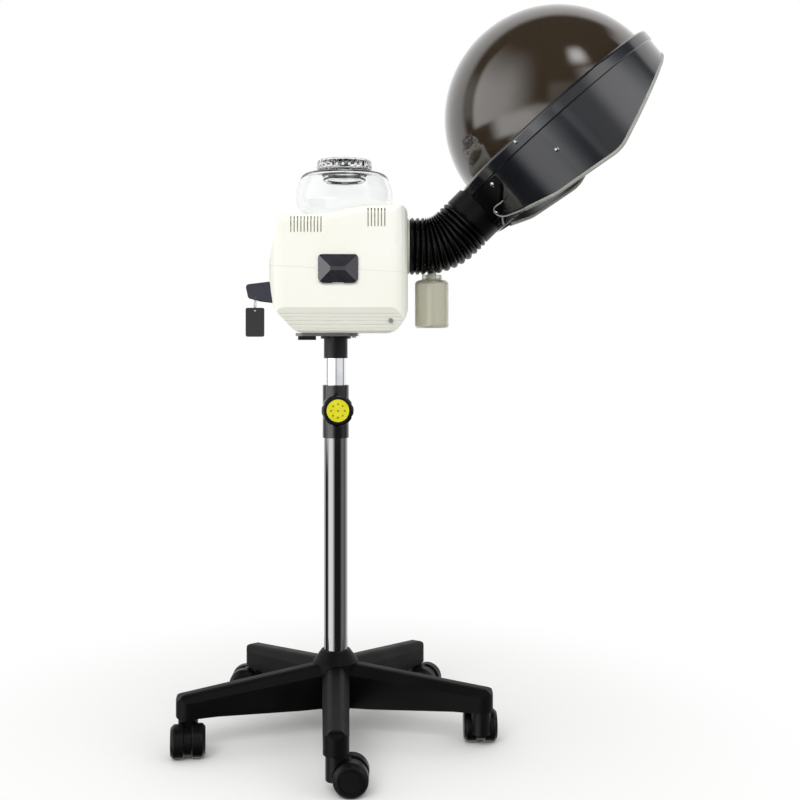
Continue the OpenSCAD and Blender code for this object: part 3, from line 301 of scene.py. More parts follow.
@dataclass(frozen=True)
class MouldedRubber(Finish):
    """Moulded rubber. The eye sees a soft sheen, a bloom of lighter dust in patches and a fine pore.

    The real pores are about 0.2 mm. They are drawn at about 1 mm, as coarse as they need to show.
    """

    relief_mm: float = 0.9
    depth_mm: float = 0.03
    drift: str = "#2b2b2d"
    patch_mm: float = 22.0
    wear: float = 0.06
    patch_octaves: float = RICH
    shine: float = 0.5

    def relief(self, tree: Tree, place: Any) -> Any:
        """Pores."""
        inputs = {"Vector": place, "Scale": per_metre(self.relief_mm)}
        return add_node(tree, "ShaderNodeTexVoronoi", inputs)


class Palette:
    """Every finish of the steamer, named for the real material and process."""

    # Stand and column: dull black mouldings, deep black gloss on the lower tube, mirror-bright chrome above it
    star = MouldedPlastic("glass_filled_nylon_moulded", "#070708", 0.5, 1.8, 0.03, "#0b0b0c", shine=0.12)
    castor = MouldedPlastic("castor_nylon_moulded", "#070708", 0.42, 1.4, 0.02, "#0c0c0e", shine=0.2)
    lacquer = LacqueredSteel("steel_tube_stoved_lacquer", "#08080c", 0.08)
    sleeve = LacqueredSteel(
        "steel_sleeve_stoved_enamel", "#08080c", 0.14, 2.4, 0.006, ior=1.5, polish=0.15, polish_roughness=0.09
    )
    chrome = BareMetal("steel_tube_chrome_plated", "#ecedf0", 0.09)
    zinc = BareMetal("steel_zinc_plated", "#b4b6ba", 0.3, 0.6, 0.01, along=(1.0, 1.0, 1.0))
    bush = MouldedPlastic("acetal_turned_black", "#1d1d1f", 0.45)
    pad = MouldedRubber("nitrile_pad_moulded", "#1a1a1a", 0.7)
    knob = MouldedPlastic("phenolic_knob_pressed", "#08080a", 0.3, 1.2, 0.01, "#0d0d0f", polish=0.3, shine=0.3)
    disc = MouldedPlastic("abs_disc_yellow_moulded", "#e6e21c", 0.32, 1.0, 0.015, "#d8d012", 12.0)
    disc_mark = MouldedPlastic("abs_disc_mark_olive", "#a09a10", 0.4, 1.0, 0.01, "#8f8a0c", 12.0)
    # Generator: warm white gloss, and black and slate details from satin to polished
    socket = MouldedPlastic("nylon_socket_moulded", "#101013", 0.36, drift="#141418", shine=0.3)
    plate = LacqueredSteel("steel_plate_powder_coated", "#0e0e10", 0.45, 1.2, 0.02, ior=1.5)
    case = MouldedPlastic("abs_case_cream_moulded", "#f9f9f2", 0.3, 1.4, 0.008, "#f6f6ec", 120.0, polish=0.2)
    # Sheets behind the vent slots: their light olive is painted light and shade of the cream inside seen through the
    # slots
    louvre = MouldedPlastic("abs_vent_sheet_painted_interior", "#bfc1a8", 0.5, 1.4, 0.01, "#b5b79c")
    catch = MouldedPlastic("abs_catch_black_polished", "#2a2a31", 0.2, 1.6, 0.004, "#323239", 20.0, polish=0.8)
    handle = MouldedPlastic("abs_handle_grey_moulded", "#2f3038", 0.42, 1.5, 0.03, "#383943", shine=0.35)
    tag = MouldedPlastic("polystyrene_tag_black", "#0c0c0d", 0.28, 1.0, 0.01, "#151516", 14.0, polish=0.3)
    gland = MouldedRubber("pvc_gland_moulded", "#0b0b0c", 0.6, drift="#151516", shine=0.3)
    # Controls: a matt dark panel with flat white ink, a shiny ivory dial, a satin rocker and a clear red lamp
    panel = MouldedPlastic("abs_panel_dark_moulded", "#242427", 0.5, drift="#2a2a2d")
    ink = Finish("screen_ink_white", "#e6e6e2", 0.6)
    dial = MouldedPlastic("abs_dial_ivory_moulded", "#d9d9d2", 0.3, 1.2, 0.01, "#cfcfc6", 18.0)
    rocker = MouldedPlastic("nylon_rocker_moulded", "#121214", 0.3, drift="#19191c")
    lamp = ClearMoulding("acrylic_lamp_red", "#d8301c", 0.15, see_through=0.6)
    # Inside the generator: grey steel, browned by heat at the element
    boiler = BareMetal("stainless_boiler_drawn", "#b6b7b8", 0.28, 1.2, 0.01)
    element = BareMetal("heater_sheath_oxidised", "#7d6a5c", 0.5, 1.0, 0.01, along=(1.0, 1.0, 1.0))
    feed = MouldedRubber("silicone_feed_extruded", "#d4d4d0", 0.5, 1.2, 0.01, "#c6c6c0")
    # Jar and outlet: water-clear walls with bright edges, and a milky bottle
    jar = ClearMoulding("polycarbonate_jar_blown", "#fdfefe", 0.02, ior=1.46)
    lid = ClearMoulding("acrylic_lid_pressed", "#fafbfb", 0.04, 6.0, 0.08, ior=1.46)
    seal = MouldedRubber("silicone_seal_black", "#0d0d0d", 0.45, drift="#161616")
    outlet = MouldedPlastic("polypropylene_outlet_ivory", "#dcdbd0", 0.35, drift="#d4d3c6")
    bottle = ClearMoulding(
        "polythene_bottle_blown", "#e3e2d3", 0.16, 9.0, 0.05, ior=1.51, see_through=0.8, polish=0.5
    )
    # Hose and hood: softly shining black ribs, a satin slate skirt and a smoky brown dome with clear highlights
    hose = MouldedRubber("pvc_hose_corrugated", "#030304", 0.28, 0.8, 0.01, "#060607", shine=0.22)
    arm = BareMetal("steel_arm_zinc_plated", "#a9acb0", 0.35, 0.9, 0.01)
    saddle = MouldedPlastic("nylon_saddle_moulded", "#050506", 0.36, 1.6, 0.02, "#09090b", shine=0.2)
    skirt = MouldedPlastic(
        "polycarbonate_skirt_slate", "#17181d", 0.2, 2.2, 0.004, "#1b1d23", 90.0, ior=1.5, polish=0.6
    )
    dome = ClearMoulding(
        "acrylic_dome_smoked", "#564838", 0.12, 90.0, 0.05, see_through=0.7, polish=0.6, polish_roughness=0.05
    )
    # Trim bead: its light grey is a painted highlight, the white line that light draws along the skirt's lower edge
    bead = MouldedRubber("silicone_bead_painted_highlight", "#a4a6a0", 0.4, 1.0, 0.01, "#94968f")
    diffuser = MouldedPlastic("nylon_diffuser_moulded", "#141418", 0.5, drift="#18181c", shine=0.2)


# Shapes as grids of points


def linked(name: str, data: bpy.types.ID) -> Object:
    """Makes an object at the origin and puts it in the scene.

    Args:
        name: Name of the object.
        data: Its mesh, curve, lamp or camera.

    Returns:
        The object.
    """
    made = bpy.data.objects.new(name, data)
    bpy.context.scene.collection.objects.link(made)
    return made


def merged_mesh(name: str, points: np.ndarray, faces: np.ndarray) -> Object:
    """Makes an object from points and quads, merges what coincides and turns the faces outwards.

    Args:
        name: Name of the object.
        points: Array of n points in metres.
        faces: Array of m rows of point numbers.

    Returns:
        The object, at the origin.
    """
    mesh = bpy.data.meshes.new(name)
    mesh.from_pydata(points.tolist(), [], faces.tolist())
    work = bmesh.new()
    work.from_mesh(mesh)
    bmesh.ops.remove_doubles(work, verts=work.verts, dist=MERGE)
    bmesh.ops.dissolve_degenerate(work, edges=work.edges, dist=MERGE)
    bmesh.ops.recalc_face_normals(work, faces=work.faces)
    work.to_mesh(mesh)
    work.free()
    return linked(name, mesh)


def quads(rows: int, columns: int, loop_rows: bool = False) -> np.ndarray:
    """Numbers the quads over a grid of points whose last column meets the first.

    Args:
        rows: Rows of the grid.
        columns: Points in a row.
        loop_rows: True where the last row meets the first too.

    Returns:
        Array with the four point numbers of each quad.
    """
    number = np.arange(rows * columns).reshape(rows, columns)
    number = np.vstack([number, number[:1]]) if loop_rows else number
    number = np.hstack([number, number[:, :1]])
    return np.stack([number[:-1, :-1], number[:-1, 1:], number[1:, 1:], number[1:, :-1]], axis=-1).reshape(-1, 4)


def skin(name: str, grid: np.ndarray, finish: Finish, loop_rows: bool = False) -> Object:
    """Covers a grid of points with quads.

    Args:
        name: Name of the object.
        grid: Array of rows by columns by 3, in metres. The last column meets the first.
        finish: Finish of the piece.
        loop_rows: True where the last row meets the first.

    Returns:
        The object.
    """
    made = merged_mesh(name, grid.reshape(-1, 3), quads(*grid.shape[:2], loop_rows))
    made.data.materials.append(finish.material())
    made.data.shade_smooth()
    made.data.set_sharp_from_angle(angle=math.radians(CREASE))
    return made


def full_turn(steps: int) -> np.ndarray:
    """Angles of a full turn in radians, without its end."""
    return np.linspace(0, 2 * math.pi, steps, endpoint=False)


def rounded(corners: Sequence[Sequence[float]], radii: Sequence[float], steps: int = 6) -> np.ndarray:
    """Rounds the corners of an open outline with arcs. The first and last points stay.

    With h for half the corner's angle, the arc's middle lies radius / sin h up the line that halves the corner,
    and the arc touches both sides radius / tan h from it.

    Args:
        corners: Points of the outline in a plane.
        radii: Radius at each point, 0 where it stays sharp.
        steps: Parts of each arc.

    Returns:
        Points of the rounded outline.
    """
    given = np.asarray(corners, float)
    made = [given[:1]]
    for before, here, after, radius in zip(given, given[1:], given[2:], radii[1:-1]):
        if radius <= 0:
            made.append(here[None])
            continue
        back = (before - here) / np.linalg.norm(before - here)
        on = (after - here) / np.linalg.norm(after - here)
        half = math.acos(float(np.clip(back @ on, -1, 1))) / 2
        middle = here + (back + on) / np.linalg.norm(back + on) * radius / math.sin(half)
        reach = radius / math.tan(half)
        first, last = here + back * reach - middle, here + on * reach - middle
        turn = math.atan2(first[0] * last[1] - first[1] * last[0], float(first @ last))
        angles = turn * np.linspace(0, 1, steps + 1)
        cosines, sines = np.cos(angles)[:, None], np.sin(angles)[:, None]
        made.append(middle + first * cosines + np.array([-first[1], first[0]]) * sines)
    made.append(given[-1:])
    return np.vstack(made)


@dataclass(frozen=True)
class Place:
    """A local frame: an origin in millimetres and three directions."""

    origin: Point = (0.0, 0.0, 0.0)
    x_axis: Point = (1.0, 0.0, 0.0)
    z_axis: Point = (0.0, 0.0, 1.0)

    def points(self, local: np.ndarray) -> np.ndarray:
        """Moves local points into the steamer's frame.

        Args:
            local: Array with a last side of 3, in millimetres.

        Returns:
            The same points in metres: origin + x times the x axis + y times the y axis + z times the z axis.
        """
        x_axis, z_axis = np.array(self.x_axis), np.array(self.z_axis)
        axes = np.stack([x_axis, np.cross(z_axis, x_axis), z_axis])
        return (np.asarray(local, float) @ axes + np.array(self.origin)) * MM


def turned(profile: np.ndarray, place: Place, steps: int, wave: np.ndarray | None = None) -> np.ndarray:
    """Turns a profile about the place's z axis: (r cos a, r sin a, z) for each profile point and angle a.

    Args:
        profile: Points of radius and height in millimetres.
        place: Frame whose z axis the profile turns about.
        steps: Parts of the full turn.
        wave: Factor on the radius, profile points by steps, or None.

    Returns:
        Grid of profile points by steps, in metres.
    """
    angle = full_turn(steps)
    radius = profile[:, :1] * np.ones_like(angle) if wave is None else profile[:, :1] * wave
    height = profile[:, 1:] * np.ones_like(angle)
    return place.points(np.stack([radius * np.cos(angle), radius * np.sin(angle), height], axis=-1))


def carried(path: np.ndarray, side: np.ndarray, section: np.ndarray) -> np.ndarray:
    """Carries a flat section along a path, square to it.

    Each grid point is path + u times the side direction + v times the path's direction crossed with it.

    Args:
        path: Points of the path in metres.
        side: Direction of the section's u axis at each point, about square to the path.
        section: Points u and v in metres.

    Returns:
        Grid of path points by section points.
    """
    ahead = np.gradient(path, axis=0)
    ahead /= np.linalg.norm(ahead, axis=1, keepdims=True)
    across = side - ahead * np.sum(side * ahead, axis=1, keepdims=True)
    across /= np.linalg.norm(across, axis=1, keepdims=True)
    up = np.cross(ahead, across)
    u, v = section[:, 0], section[:, 1]
    return path[:, None] + across[:, None] * u[None, :, None] + up[:, None] * v[None, :, None]


def ring_section(radius: float, steps: int) -> np.ndarray:
    """Points u and v round a circle: radius times cos a and sin a."""
    angle = full_turn(steps)
    return radius * np.stack([np.cos(angle), np.sin(angle)], axis=-1)


def eased(corners: Sequence[Sequence[float]]) -> np.ndarray:
    """Smooths an open path by cutting its corners four times: each stretch keeps its points at 1/4 and 3/4.

    Args:
        corners: Points of the path. The first and last stay.

    Returns:
        Points of the smooth path.
    """
    path = np.asarray(corners, float)
    for _ in range(4):
        cut = np.stack([path[:-1] * 0.75 + path[1:] * 0.25, path[:-1] * 0.25 + path[1:] * 0.75], axis=1)
        path = np.vstack([path[:1], cut.reshape(-1, path.shape[1]), path[-1:]])
    return path


def capped(grid: np.ndarray) -> np.ndarray:
    """Closes both ends of a tube with round noses.

    Each end row is carried out by its radius times sin a and shrinks by cos a, for four angles up to 90 degrees.

    Args:
        grid: Rows of points round the tube, in metres.

    Returns:
        The grid with four more rows at each end.
    """
    noses = []
    for end, next_row in ((grid[0], grid[1]), (grid[-1], grid[-2])):
        middle = end.mean(axis=0)
        radius = np.linalg.norm(end - middle, axis=1).mean()
        out = middle - next_row.mean(axis=0)
        out /= np.linalg.norm(out)
        angle = np.radians([22.5, 45.0, 67.5, 90.0])
        cosines, sines = np.cos(angle)[:, None, None], np.sin(angle)[:, None, None]
        noses.append(middle + (end - middle) * cosines + out * radius * sines)
    return np.vstack([noses[0][::-1], grid, noses[1]])


def lettering(name: str, words: str, height: float, place: Place, at: Pair) -> Object:
    """Makes plain raised figures.

    Args:
        name: Name of the object.
        words: What is written.
        height: Height of the figures in millimetres.
        place: Frame whose x and y axes the figures lie in, facing z.
        at: Middle of the figures in that frame, in millimetres.

    Returns:
        The object, as a mesh at the origin.
    """
    curve = bpy.data.curves.new(name, "FONT")
    curve.body, curve.size = words, height * FONT_SHARE
    curve.align_x, curve.align_y = "CENTER", "CENTER"
    curve.extrude = FIGURE_T
    flat = linked(name + "_curve", curve)
    mesh = bpy.data.meshes.new_from_object(flat)
    mesh.name = name
    bpy.data.objects.remove(flat)
    local = np.zeros(len(mesh.vertices) * 3, np.float32)
    mesh.vertices.foreach_get("co", local)
    moved = place.points(local.reshape(-1, 3) + np.array([*at, 0.0]))
    mesh.vertices.foreach_set("co", moved.astype(np.float32).ravel())
    mesh.update()
    mesh.materials.clear()
    mesh.materials.append(Palette.ink.material())
    return linked(name, mesh)


def joined(name: str, parts: Sequence[Object]) -> Object:
    """Makes one object of several with the same material.

    Args:
        name: Name of the new object.
        parts: Objects at the origin. They are removed.

    Returns:
        The joined object.
    """
    work = bmesh.new()
    material = parts[0].data.materials[0]
    for part in parts:
        work.from_mesh(part.data)
    mesh = bpy.data.meshes.new(name)
    work.to_mesh(mesh)
    work.free()
    for part in parts:
        bpy.data.objects.remove(part)
    mesh.materials.append(material)
    return linked(name, mesh)


# Sub-assemblies


class Side(Enum):
    """The two long sides of the machine, by their sign on Y."""

    NEAR = -1
    FAR = 1


@dataclass
class SubAssembly:
    """What each sub-assembly has: construction nodes that stay, by finish, and pieces modelled here."""

    frame: dict[str, Any]
    looks: ClassVar[dict[Finish, tuple[str, ...]]] = {}

    def add(self, piece: Object, body: str, slot: str, *stands_for: str) -> None:
        """Puts a modelled piece on its body.

        Args:
            piece: The piece.
            body: Body that it moves with.
            slot: Material slot of the record for the piece. Not used.
            *stands_for: Construction nodes that it is shown for.
        """
        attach(piece, body)
        if stands_for:
            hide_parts(*stands_for)
        log.info("%s: %d faces on %s", piece.name, len(piece.data.polygons), body)

    def models(self) -> None:
        """Adds the pieces that are modelled here. Some sub-assemblies have none."""

    def build(self) -> None:
        """Gives the construction nodes their finishes and adds the modelled pieces."""
        for finish, nodes in self.looks.items():
            for name in nodes:
                materials = self.frame["nodes"][name].data.materials
                materials.clear()
                materials.append(finish.material())
                log.info("%s: %s", name, finish.name)
        self.models()


@dataclass
class Stand(SubAssembly):
    """The star base, its five castors and the bolt under the hub."""

    looks = {
        Palette.star: ("star_base",),
        Palette.zinc: ("column_bolt",),
        Palette.castor: tuple(
            f"castor_{number}_{part}" for number in range(1, CASTORS + 1) for part in ("frame", "wheel_a", "wheel_b")
        ),
    }


@dataclass
class Column(SubAssembly):
    """Tubes, clamp sleeve and the knob with its yellow disc."""

    looks = {
        Palette.lacquer: ("outer_tube",),
        Palette.sleeve: ("clamp_sleeve",),
        Palette.chrome: ("inner_tube",),
        Palette.bush: ("guide_bush",),
        Palette.pad: ("brake_pad",),
        Palette.zinc: ("clamp_stud",),
        Palette.knob: ("clamp_knob",),
        Palette.disc: ("knob_disc",),
    }
    knob_turn: float = -83.0
    mark_count: int = 8
    mark_ring_r: float = 10.5
    mark_r: float = 1.7
    mark_height: float = 0.5
    mark_sunk: float = 0.3
    mark_round: float = 0.3
    mark_steps: int = 20
    face_out: float = 0.9

    def models(self) -> None:
        """Adds the disc's raised dots."""
        self.add(self.disc_marks(), "knob", "disc_yellow")

    def disc_marks(self) -> Object:
        """A ring of low round dots and one in the middle, moulded on the disc.

        Returns:
            The dots as one piece.
        """
        turn = math.radians(self.knob_turn)
        out, side = (math.cos(turn), math.sin(turn), 0.0), (-math.sin(turn), math.cos(turn), 0.0)
        x, y, z = ((low + high) / 2 / MM for low, high in zip(*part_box("knob_disc")))
        reach = math.hypot(x, y) + self.face_out
        face = Place((out[0] * reach, out[1] * reach, z), side, out)
        outline = [[0, self.mark_height], [self.mark_r, self.mark_height], [self.mark_r, -self.mark_sunk]]
        dot = turned(rounded(outline, [0, self.mark_round, 0]), face, self.mark_steps)
        places = np.vstack([ring_section(self.mark_ring_r, self.mark_count), [[0, 0]]])
        dots = []
        for number, place in enumerate(places):
            offset = face.points([*place, 0]) - face.points([0, 0, 0])
            dots.append(skin(f"dot_{number}", dot + offset, Palette.disc_mark))
        return joined("disc_dots", dots)


@dataclass
class Generator(SubAssembly):
    """The cream housing with its catches, handle, tag and the boiler inside."""

    looks = {
        Palette.socket: ("tube_socket",),
        Palette.plate: ("base_plate",),
        Palette.case: ("lower_shell", "upper_shell"),
        Palette.zinc: ("shell_screws", "tag_ring"),
        Palette.catch: ("side_catch_near", "side_catch_far"),
        Palette.handle: ("handle",),
        Palette.tag: ("tag",),
        Palette.gland: ("cord_gland",),
        Palette.boiler: ("boiler_tank", "boiler_lid", "steam_pipe"),
        Palette.element: ("heating_element",),
        Palette.feed: ("feed_tube",),
        Palette.outlet: ("outlet_adaptor",),
    }
    wall_y: float = 86.2
    louvre_t: float = 0.8
    louvre_spans: tuple[Four, ...] = ((-69.0, -11.0, 788.0, 814.0), (50.0, 85.0, 797.0, 826.0))

    def louvres(self) -> Object:
        """Sheets a little behind the vent slots, one for each group of slots on both sides. Their light olive is
        painted light and shade: it stands for the half-lit cream inside seen through the slots.

        Each is a flat box of four rows of points: its inner face's middle and outline, then the outer face's
        outline and middle.

        Returns:
            The four sheets as one piece.
        """
        parts = []
        for side in Side:
            for x0, x1, z0, z1 in self.louvre_spans:
                x, z = np.array([x0, x1, x1, x0]), np.array([z0, z0, z1, z1])
                spread, inward = np.array([[0.0], [1.0], [1.0], [0.0]]), np.array([[1.0], [1.0], [0.0], [0.0]])
                y = side.value * (self.wall_y - self.louvre_t * inward) + 0 * x
                grid = np.stack([x.mean() + spread * (x - x.mean()), y, z.mean() + spread * (z - z.mean())], axis=-1)
                parts.append(skin("liner", grid * MM, Palette.louvre))
        return joined("vent_sheets_painted_interior", parts)

    def models(self) -> None:
        """Adds the sheets of painted light and shade behind the vents."""
        self.add(self.louvres(), "head", "case_cream")


@dataclass
class Controls(SubAssembly):
    """The timer, the rocker switch and the lamp in the sloped left end, with plain figures beside them."""

    looks = {
        Palette.panel: ("control_panel",),
        Palette.dial: ("timer_knob",),
        Palette.rocker: ("power_rocker",),
        Palette.lamp: ("pilot_lamp",),
    }
    face: Pair = (-77.26, 779.96)
    lean_deg: float = 13.61
    timer_y: float = -30.0
    rocker_y: float = 20.0
    minutes: tuple[int, ...] = (0, 10, 20, 30, 40, 50, 60)
    first_deg: float = 90.0
    step_deg: float = 45.0
    scale_r: float = 17.6
    figure_h: float = 3.0
    switch_marks: tuple[tuple[str, float], ...] = (("I", 14.5), ("O", -14.5))

    def at(self, y: float) -> Place:
        """Frame on the panel's face at y: x to the looker's right, y up the slope and z outwards."""
        lean = math.radians(self.lean_deg)
        return Place((self.face[0], y, self.face[1]), (0.0, -1.0, 0.0), (-math.cos(lean), 0.0, math.sin(lean)))

    def figures(self) -> Object:
        """Minutes round the timer, and the stroke and ring of the rocker's two positions.

        Returns:
            The figures as one piece.
        """
        parts = []
        for count, minute in enumerate(self.minutes):
            angle = math.radians(self.first_deg + self.step_deg * count)
            where = (self.scale_r * math.cos(angle), self.scale_r * math.sin(angle))
            parts.append(lettering(f"minute_{minute}", str(minute), self.figure_h, self.at(self.timer_y), where))
        for word, height in self.switch_marks:
            parts.append(lettering(f"switch_{word}", word, self.figure_h, self.at(self.rocker_y), (0.0, height)))
        return joined("panel_figures", parts)

    def models(self) -> None:
        """Adds the figures."""
        self.add(self.figures(), "head", "panel_plastic")


@dataclass
class WaterJar(SubAssembly):
    """The clear squat jar, its fluted lid and the black seals."""

    looks = {Palette.seal: ("lid_seals",)}
    centre_x: float = 14.0
    floor_z: float = 796.0
    height: float = 104.0
    steps: int = 160
    corner_steps: int = 10
    flutes: int = 28
    flute_depth: float = 1.1
    flute_steps: int = 10
    flutes_from: Pair = (41.0, 2.5)
    outer: tuple[Pair, ...] = (
        (7, 0), (50, 0), (66, 34), (76.5, 49), (76.5, 70), (68.5, 95), (43, 102), (43, 104), (36, 104)
    )  # fmt: skip
    outer_radii: tuple[float, ...] = (0, 8, 30, 12, 26, 12, 1, 0.8, 0)
    inner: tuple[Pair, ...] = (
        (36, 104), (36, 98.5), (66, 91.5), (73, 69.4), (73, 50), (62.8, 35.5), (47.6, 4.5), (7, 4.5), (7, 0)
    )  # fmt: skip
    inner_radii: tuple[float, ...] = (0, 1, 9, 23, 9, 27, 6, 0, 0)
    lid_outline: tuple[Pair, ...] = (
        (0.01, 12), (8.05, 12), (8.05, 15), (39.5, 15), (41.6, 14.4), (43, 13), (43.6, 11), (44, 6),
        (44, 3.4), (43.7, 1.8), (42.6, 0.4), (41, 0), (33, 0), (33, -5), (31.5, -5), (31.5, -10),
        (33, -10), (33, -14.6), (31.75, -15.8), (33, -17), (33, -18), (27, -18), (27, 4), (0.01, 4),
    )  # fmt: skip

    @property
    def foot(self) -> Place:
        """Frame in the middle of the jar's floor."""
        return Place((self.centre_x, 0.0, self.floor_z))

    def jar(self) -> Object:
        """The jar: its outline, then its bore, turned about the upright axis.

        Returns:
            The jar with its drain hole and its open mouth.
        """
        outer = rounded(self.outer, self.outer_radii, self.corner_steps)
        inner = rounded(self.inner, self.inner_radii, self.corner_steps)
        return skin("clear_jar", turned(np.vstack([outer, inner[1:]]), self.foot, self.steps), Palette.jar)

    def lid(self) -> Object:
        """The lid: a turned profile whose rim, beyond the radius and height of flutes_from, is fluted.

        The rim's radius shrinks by the flute's depth times the cube of the positive part of
        cos(flutes times angle).

        Returns:
            The lid with its plug, seal grooves and the seat of the vent plug.
        """
        profile = np.array(self.lid_outline)
        steps = self.flutes * self.flute_steps
        hollow = np.maximum(np.cos(self.flutes * full_turn(steps)), 0) ** 3
        rim = np.all(profile > self.flutes_from, axis=1)
        share = np.where(rim, self.flute_depth / profile[:, 0], 0)
        foot = Place((self.centre_x, 0.0, self.floor_z + self.height))
        grid = turned(profile, foot, steps, 1 - share[:, None] * hollow)
        return skin("fluted_lid", grid, Palette.lid)

    def models(self) -> None:
        """Adds the jar and its lid."""
        self.add(self.jar(), "jar", "jar_glass", "water_jar")
        self.add(self.lid(), "lid", "jar_glass", "jar_lid")


@dataclass
class DripBottle(SubAssembly):
    """The small bottle that hangs under the hose."""

    looks = {Palette.bottle: ("drip_bottle",)}


@dataclass
class SteamHose(SubAssembly):
    """The ribbed hose with its bend, and the jointed arm inside it."""

    looks = {Palette.arm: ("lower_arm", "upper_arm", "arm_pin")}
    start_x: float = 118.1
    level: float = 778.0
    bend_x: float = 172.0
    bend_deg: float = 45.0
    bend_r: float = 75.0
    end_run: float = 68.6
    crest_r: float = 45.5
    rib_depth: float = 5.0
    rib_power: float = 0.7
    wall: float = 2.4
    cuff: float = 16.0
    ribs: int = 12
    rib_steps: int = 14
    around: int = 96
    end_hold: float = 12.0

    @property
    def bend(self) -> tuple[float, ...]:
        """The bend's angle in radians, the length of its tangents and the length of its arc."""
        turn = math.radians(self.bend_deg)
        return turn, self.bend_r * math.tan(turn / 2), self.bend_r * turn

    def middle_line(self, length: np.ndarray) -> tuple[np.ndarray, np.ndarray]:
        """Middle line of the hose: level, round the bend, then straight up the slope.

        With r for the bend's radius and h for the heading, the bend adds r sin h along and r (1 - cos h) up.

        Args:
            length: Distances along the hose in millimetres.

        Returns:
            Points x and z in millimetres, and the heading in radians above level.
        """
        turn, tangent, arc = self.bend
        first = self.bend_x - tangent - self.start_x
        heading = np.clip((length - first) / arc, 0, 1) * turn
        level_run = np.minimum(length, first)
        slope_run = np.maximum(length - first - arc, 0)
        x = self.start_x + level_run + self.bend_r * np.sin(heading) + slope_run * math.cos(turn)
        z = self.level + self.bend_r * (1 - np.cos(heading)) + slope_run * math.sin(turn)
        return np.stack([x, z], axis=-1), heading

    @property
    def whole(self) -> float:
        """Length of the hose along its middle line."""
        _, tangent, arc = self.bend
        return self.bend_x - tangent - self.start_x + arc + self.end_run - tangent

    def rings(self, length: np.ndarray, radius: np.ndarray) -> np.ndarray:
        """Circles square to the middle line.

        Round the circle, y is radius times sin a, and radius times cos a goes up from the middle line, turned
        by the heading.

        Args:
            length: Distances along the hose in millimetres.
            radius: Radius at each of them.

        Returns:
            Grid of lengths by points around, in metres.
        """
        middle, heading = self.middle_line(length)
        angle = full_turn(self.around)
        lift = radius[:, None] * np.cos(angle)
        x = middle[:, :1] - lift * np.sin(heading)[:, None]
        z = middle[:, 1:] + lift * np.cos(heading)[:, None]
        return np.stack([x, radius[:, None] * np.sin(angle), z], axis=-1) * MM

    def hose(self) -> Object:
        """The corrugated wall, outside and inside.

        The outer radius is root + depth times |sin(pi s / pitch)| to the power rib_power. That gives broad
        round ribs with tight grooves, up to the plain cuff. The inside follows it one wall further in.

        Returns:
            The hose.
        """
        ribbed = self.whole - self.cuff
        length = np.append(np.linspace(0, ribbed, self.ribs * self.rib_steps + 1), self.whole)
        swell = np.abs(np.sin(math.pi * np.minimum(length / ribbed, 1) * self.ribs)) ** self.rib_power
        outside = self.crest_r - self.rib_depth + self.rib_depth * swell
        inside = outside - self.wall
        grid = np.vstack([self.rings(length, outside), self.rings(length[::-1], inside[::-1])])
        return skin("ribbed_hose", grid, Palette.hose, loop_rows=True)

    def models(self) -> None:
        """Adds the hose and hides the construction's hose."""
        hose = self.hose()
        middle, _ = self.middle_line(np.array([self.whole - self.end_hold]))
        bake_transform(hose)
        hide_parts("steam_hose")
        log.info("%s: %d faces between head and hood", hose.name, len(hose.data.polygons))


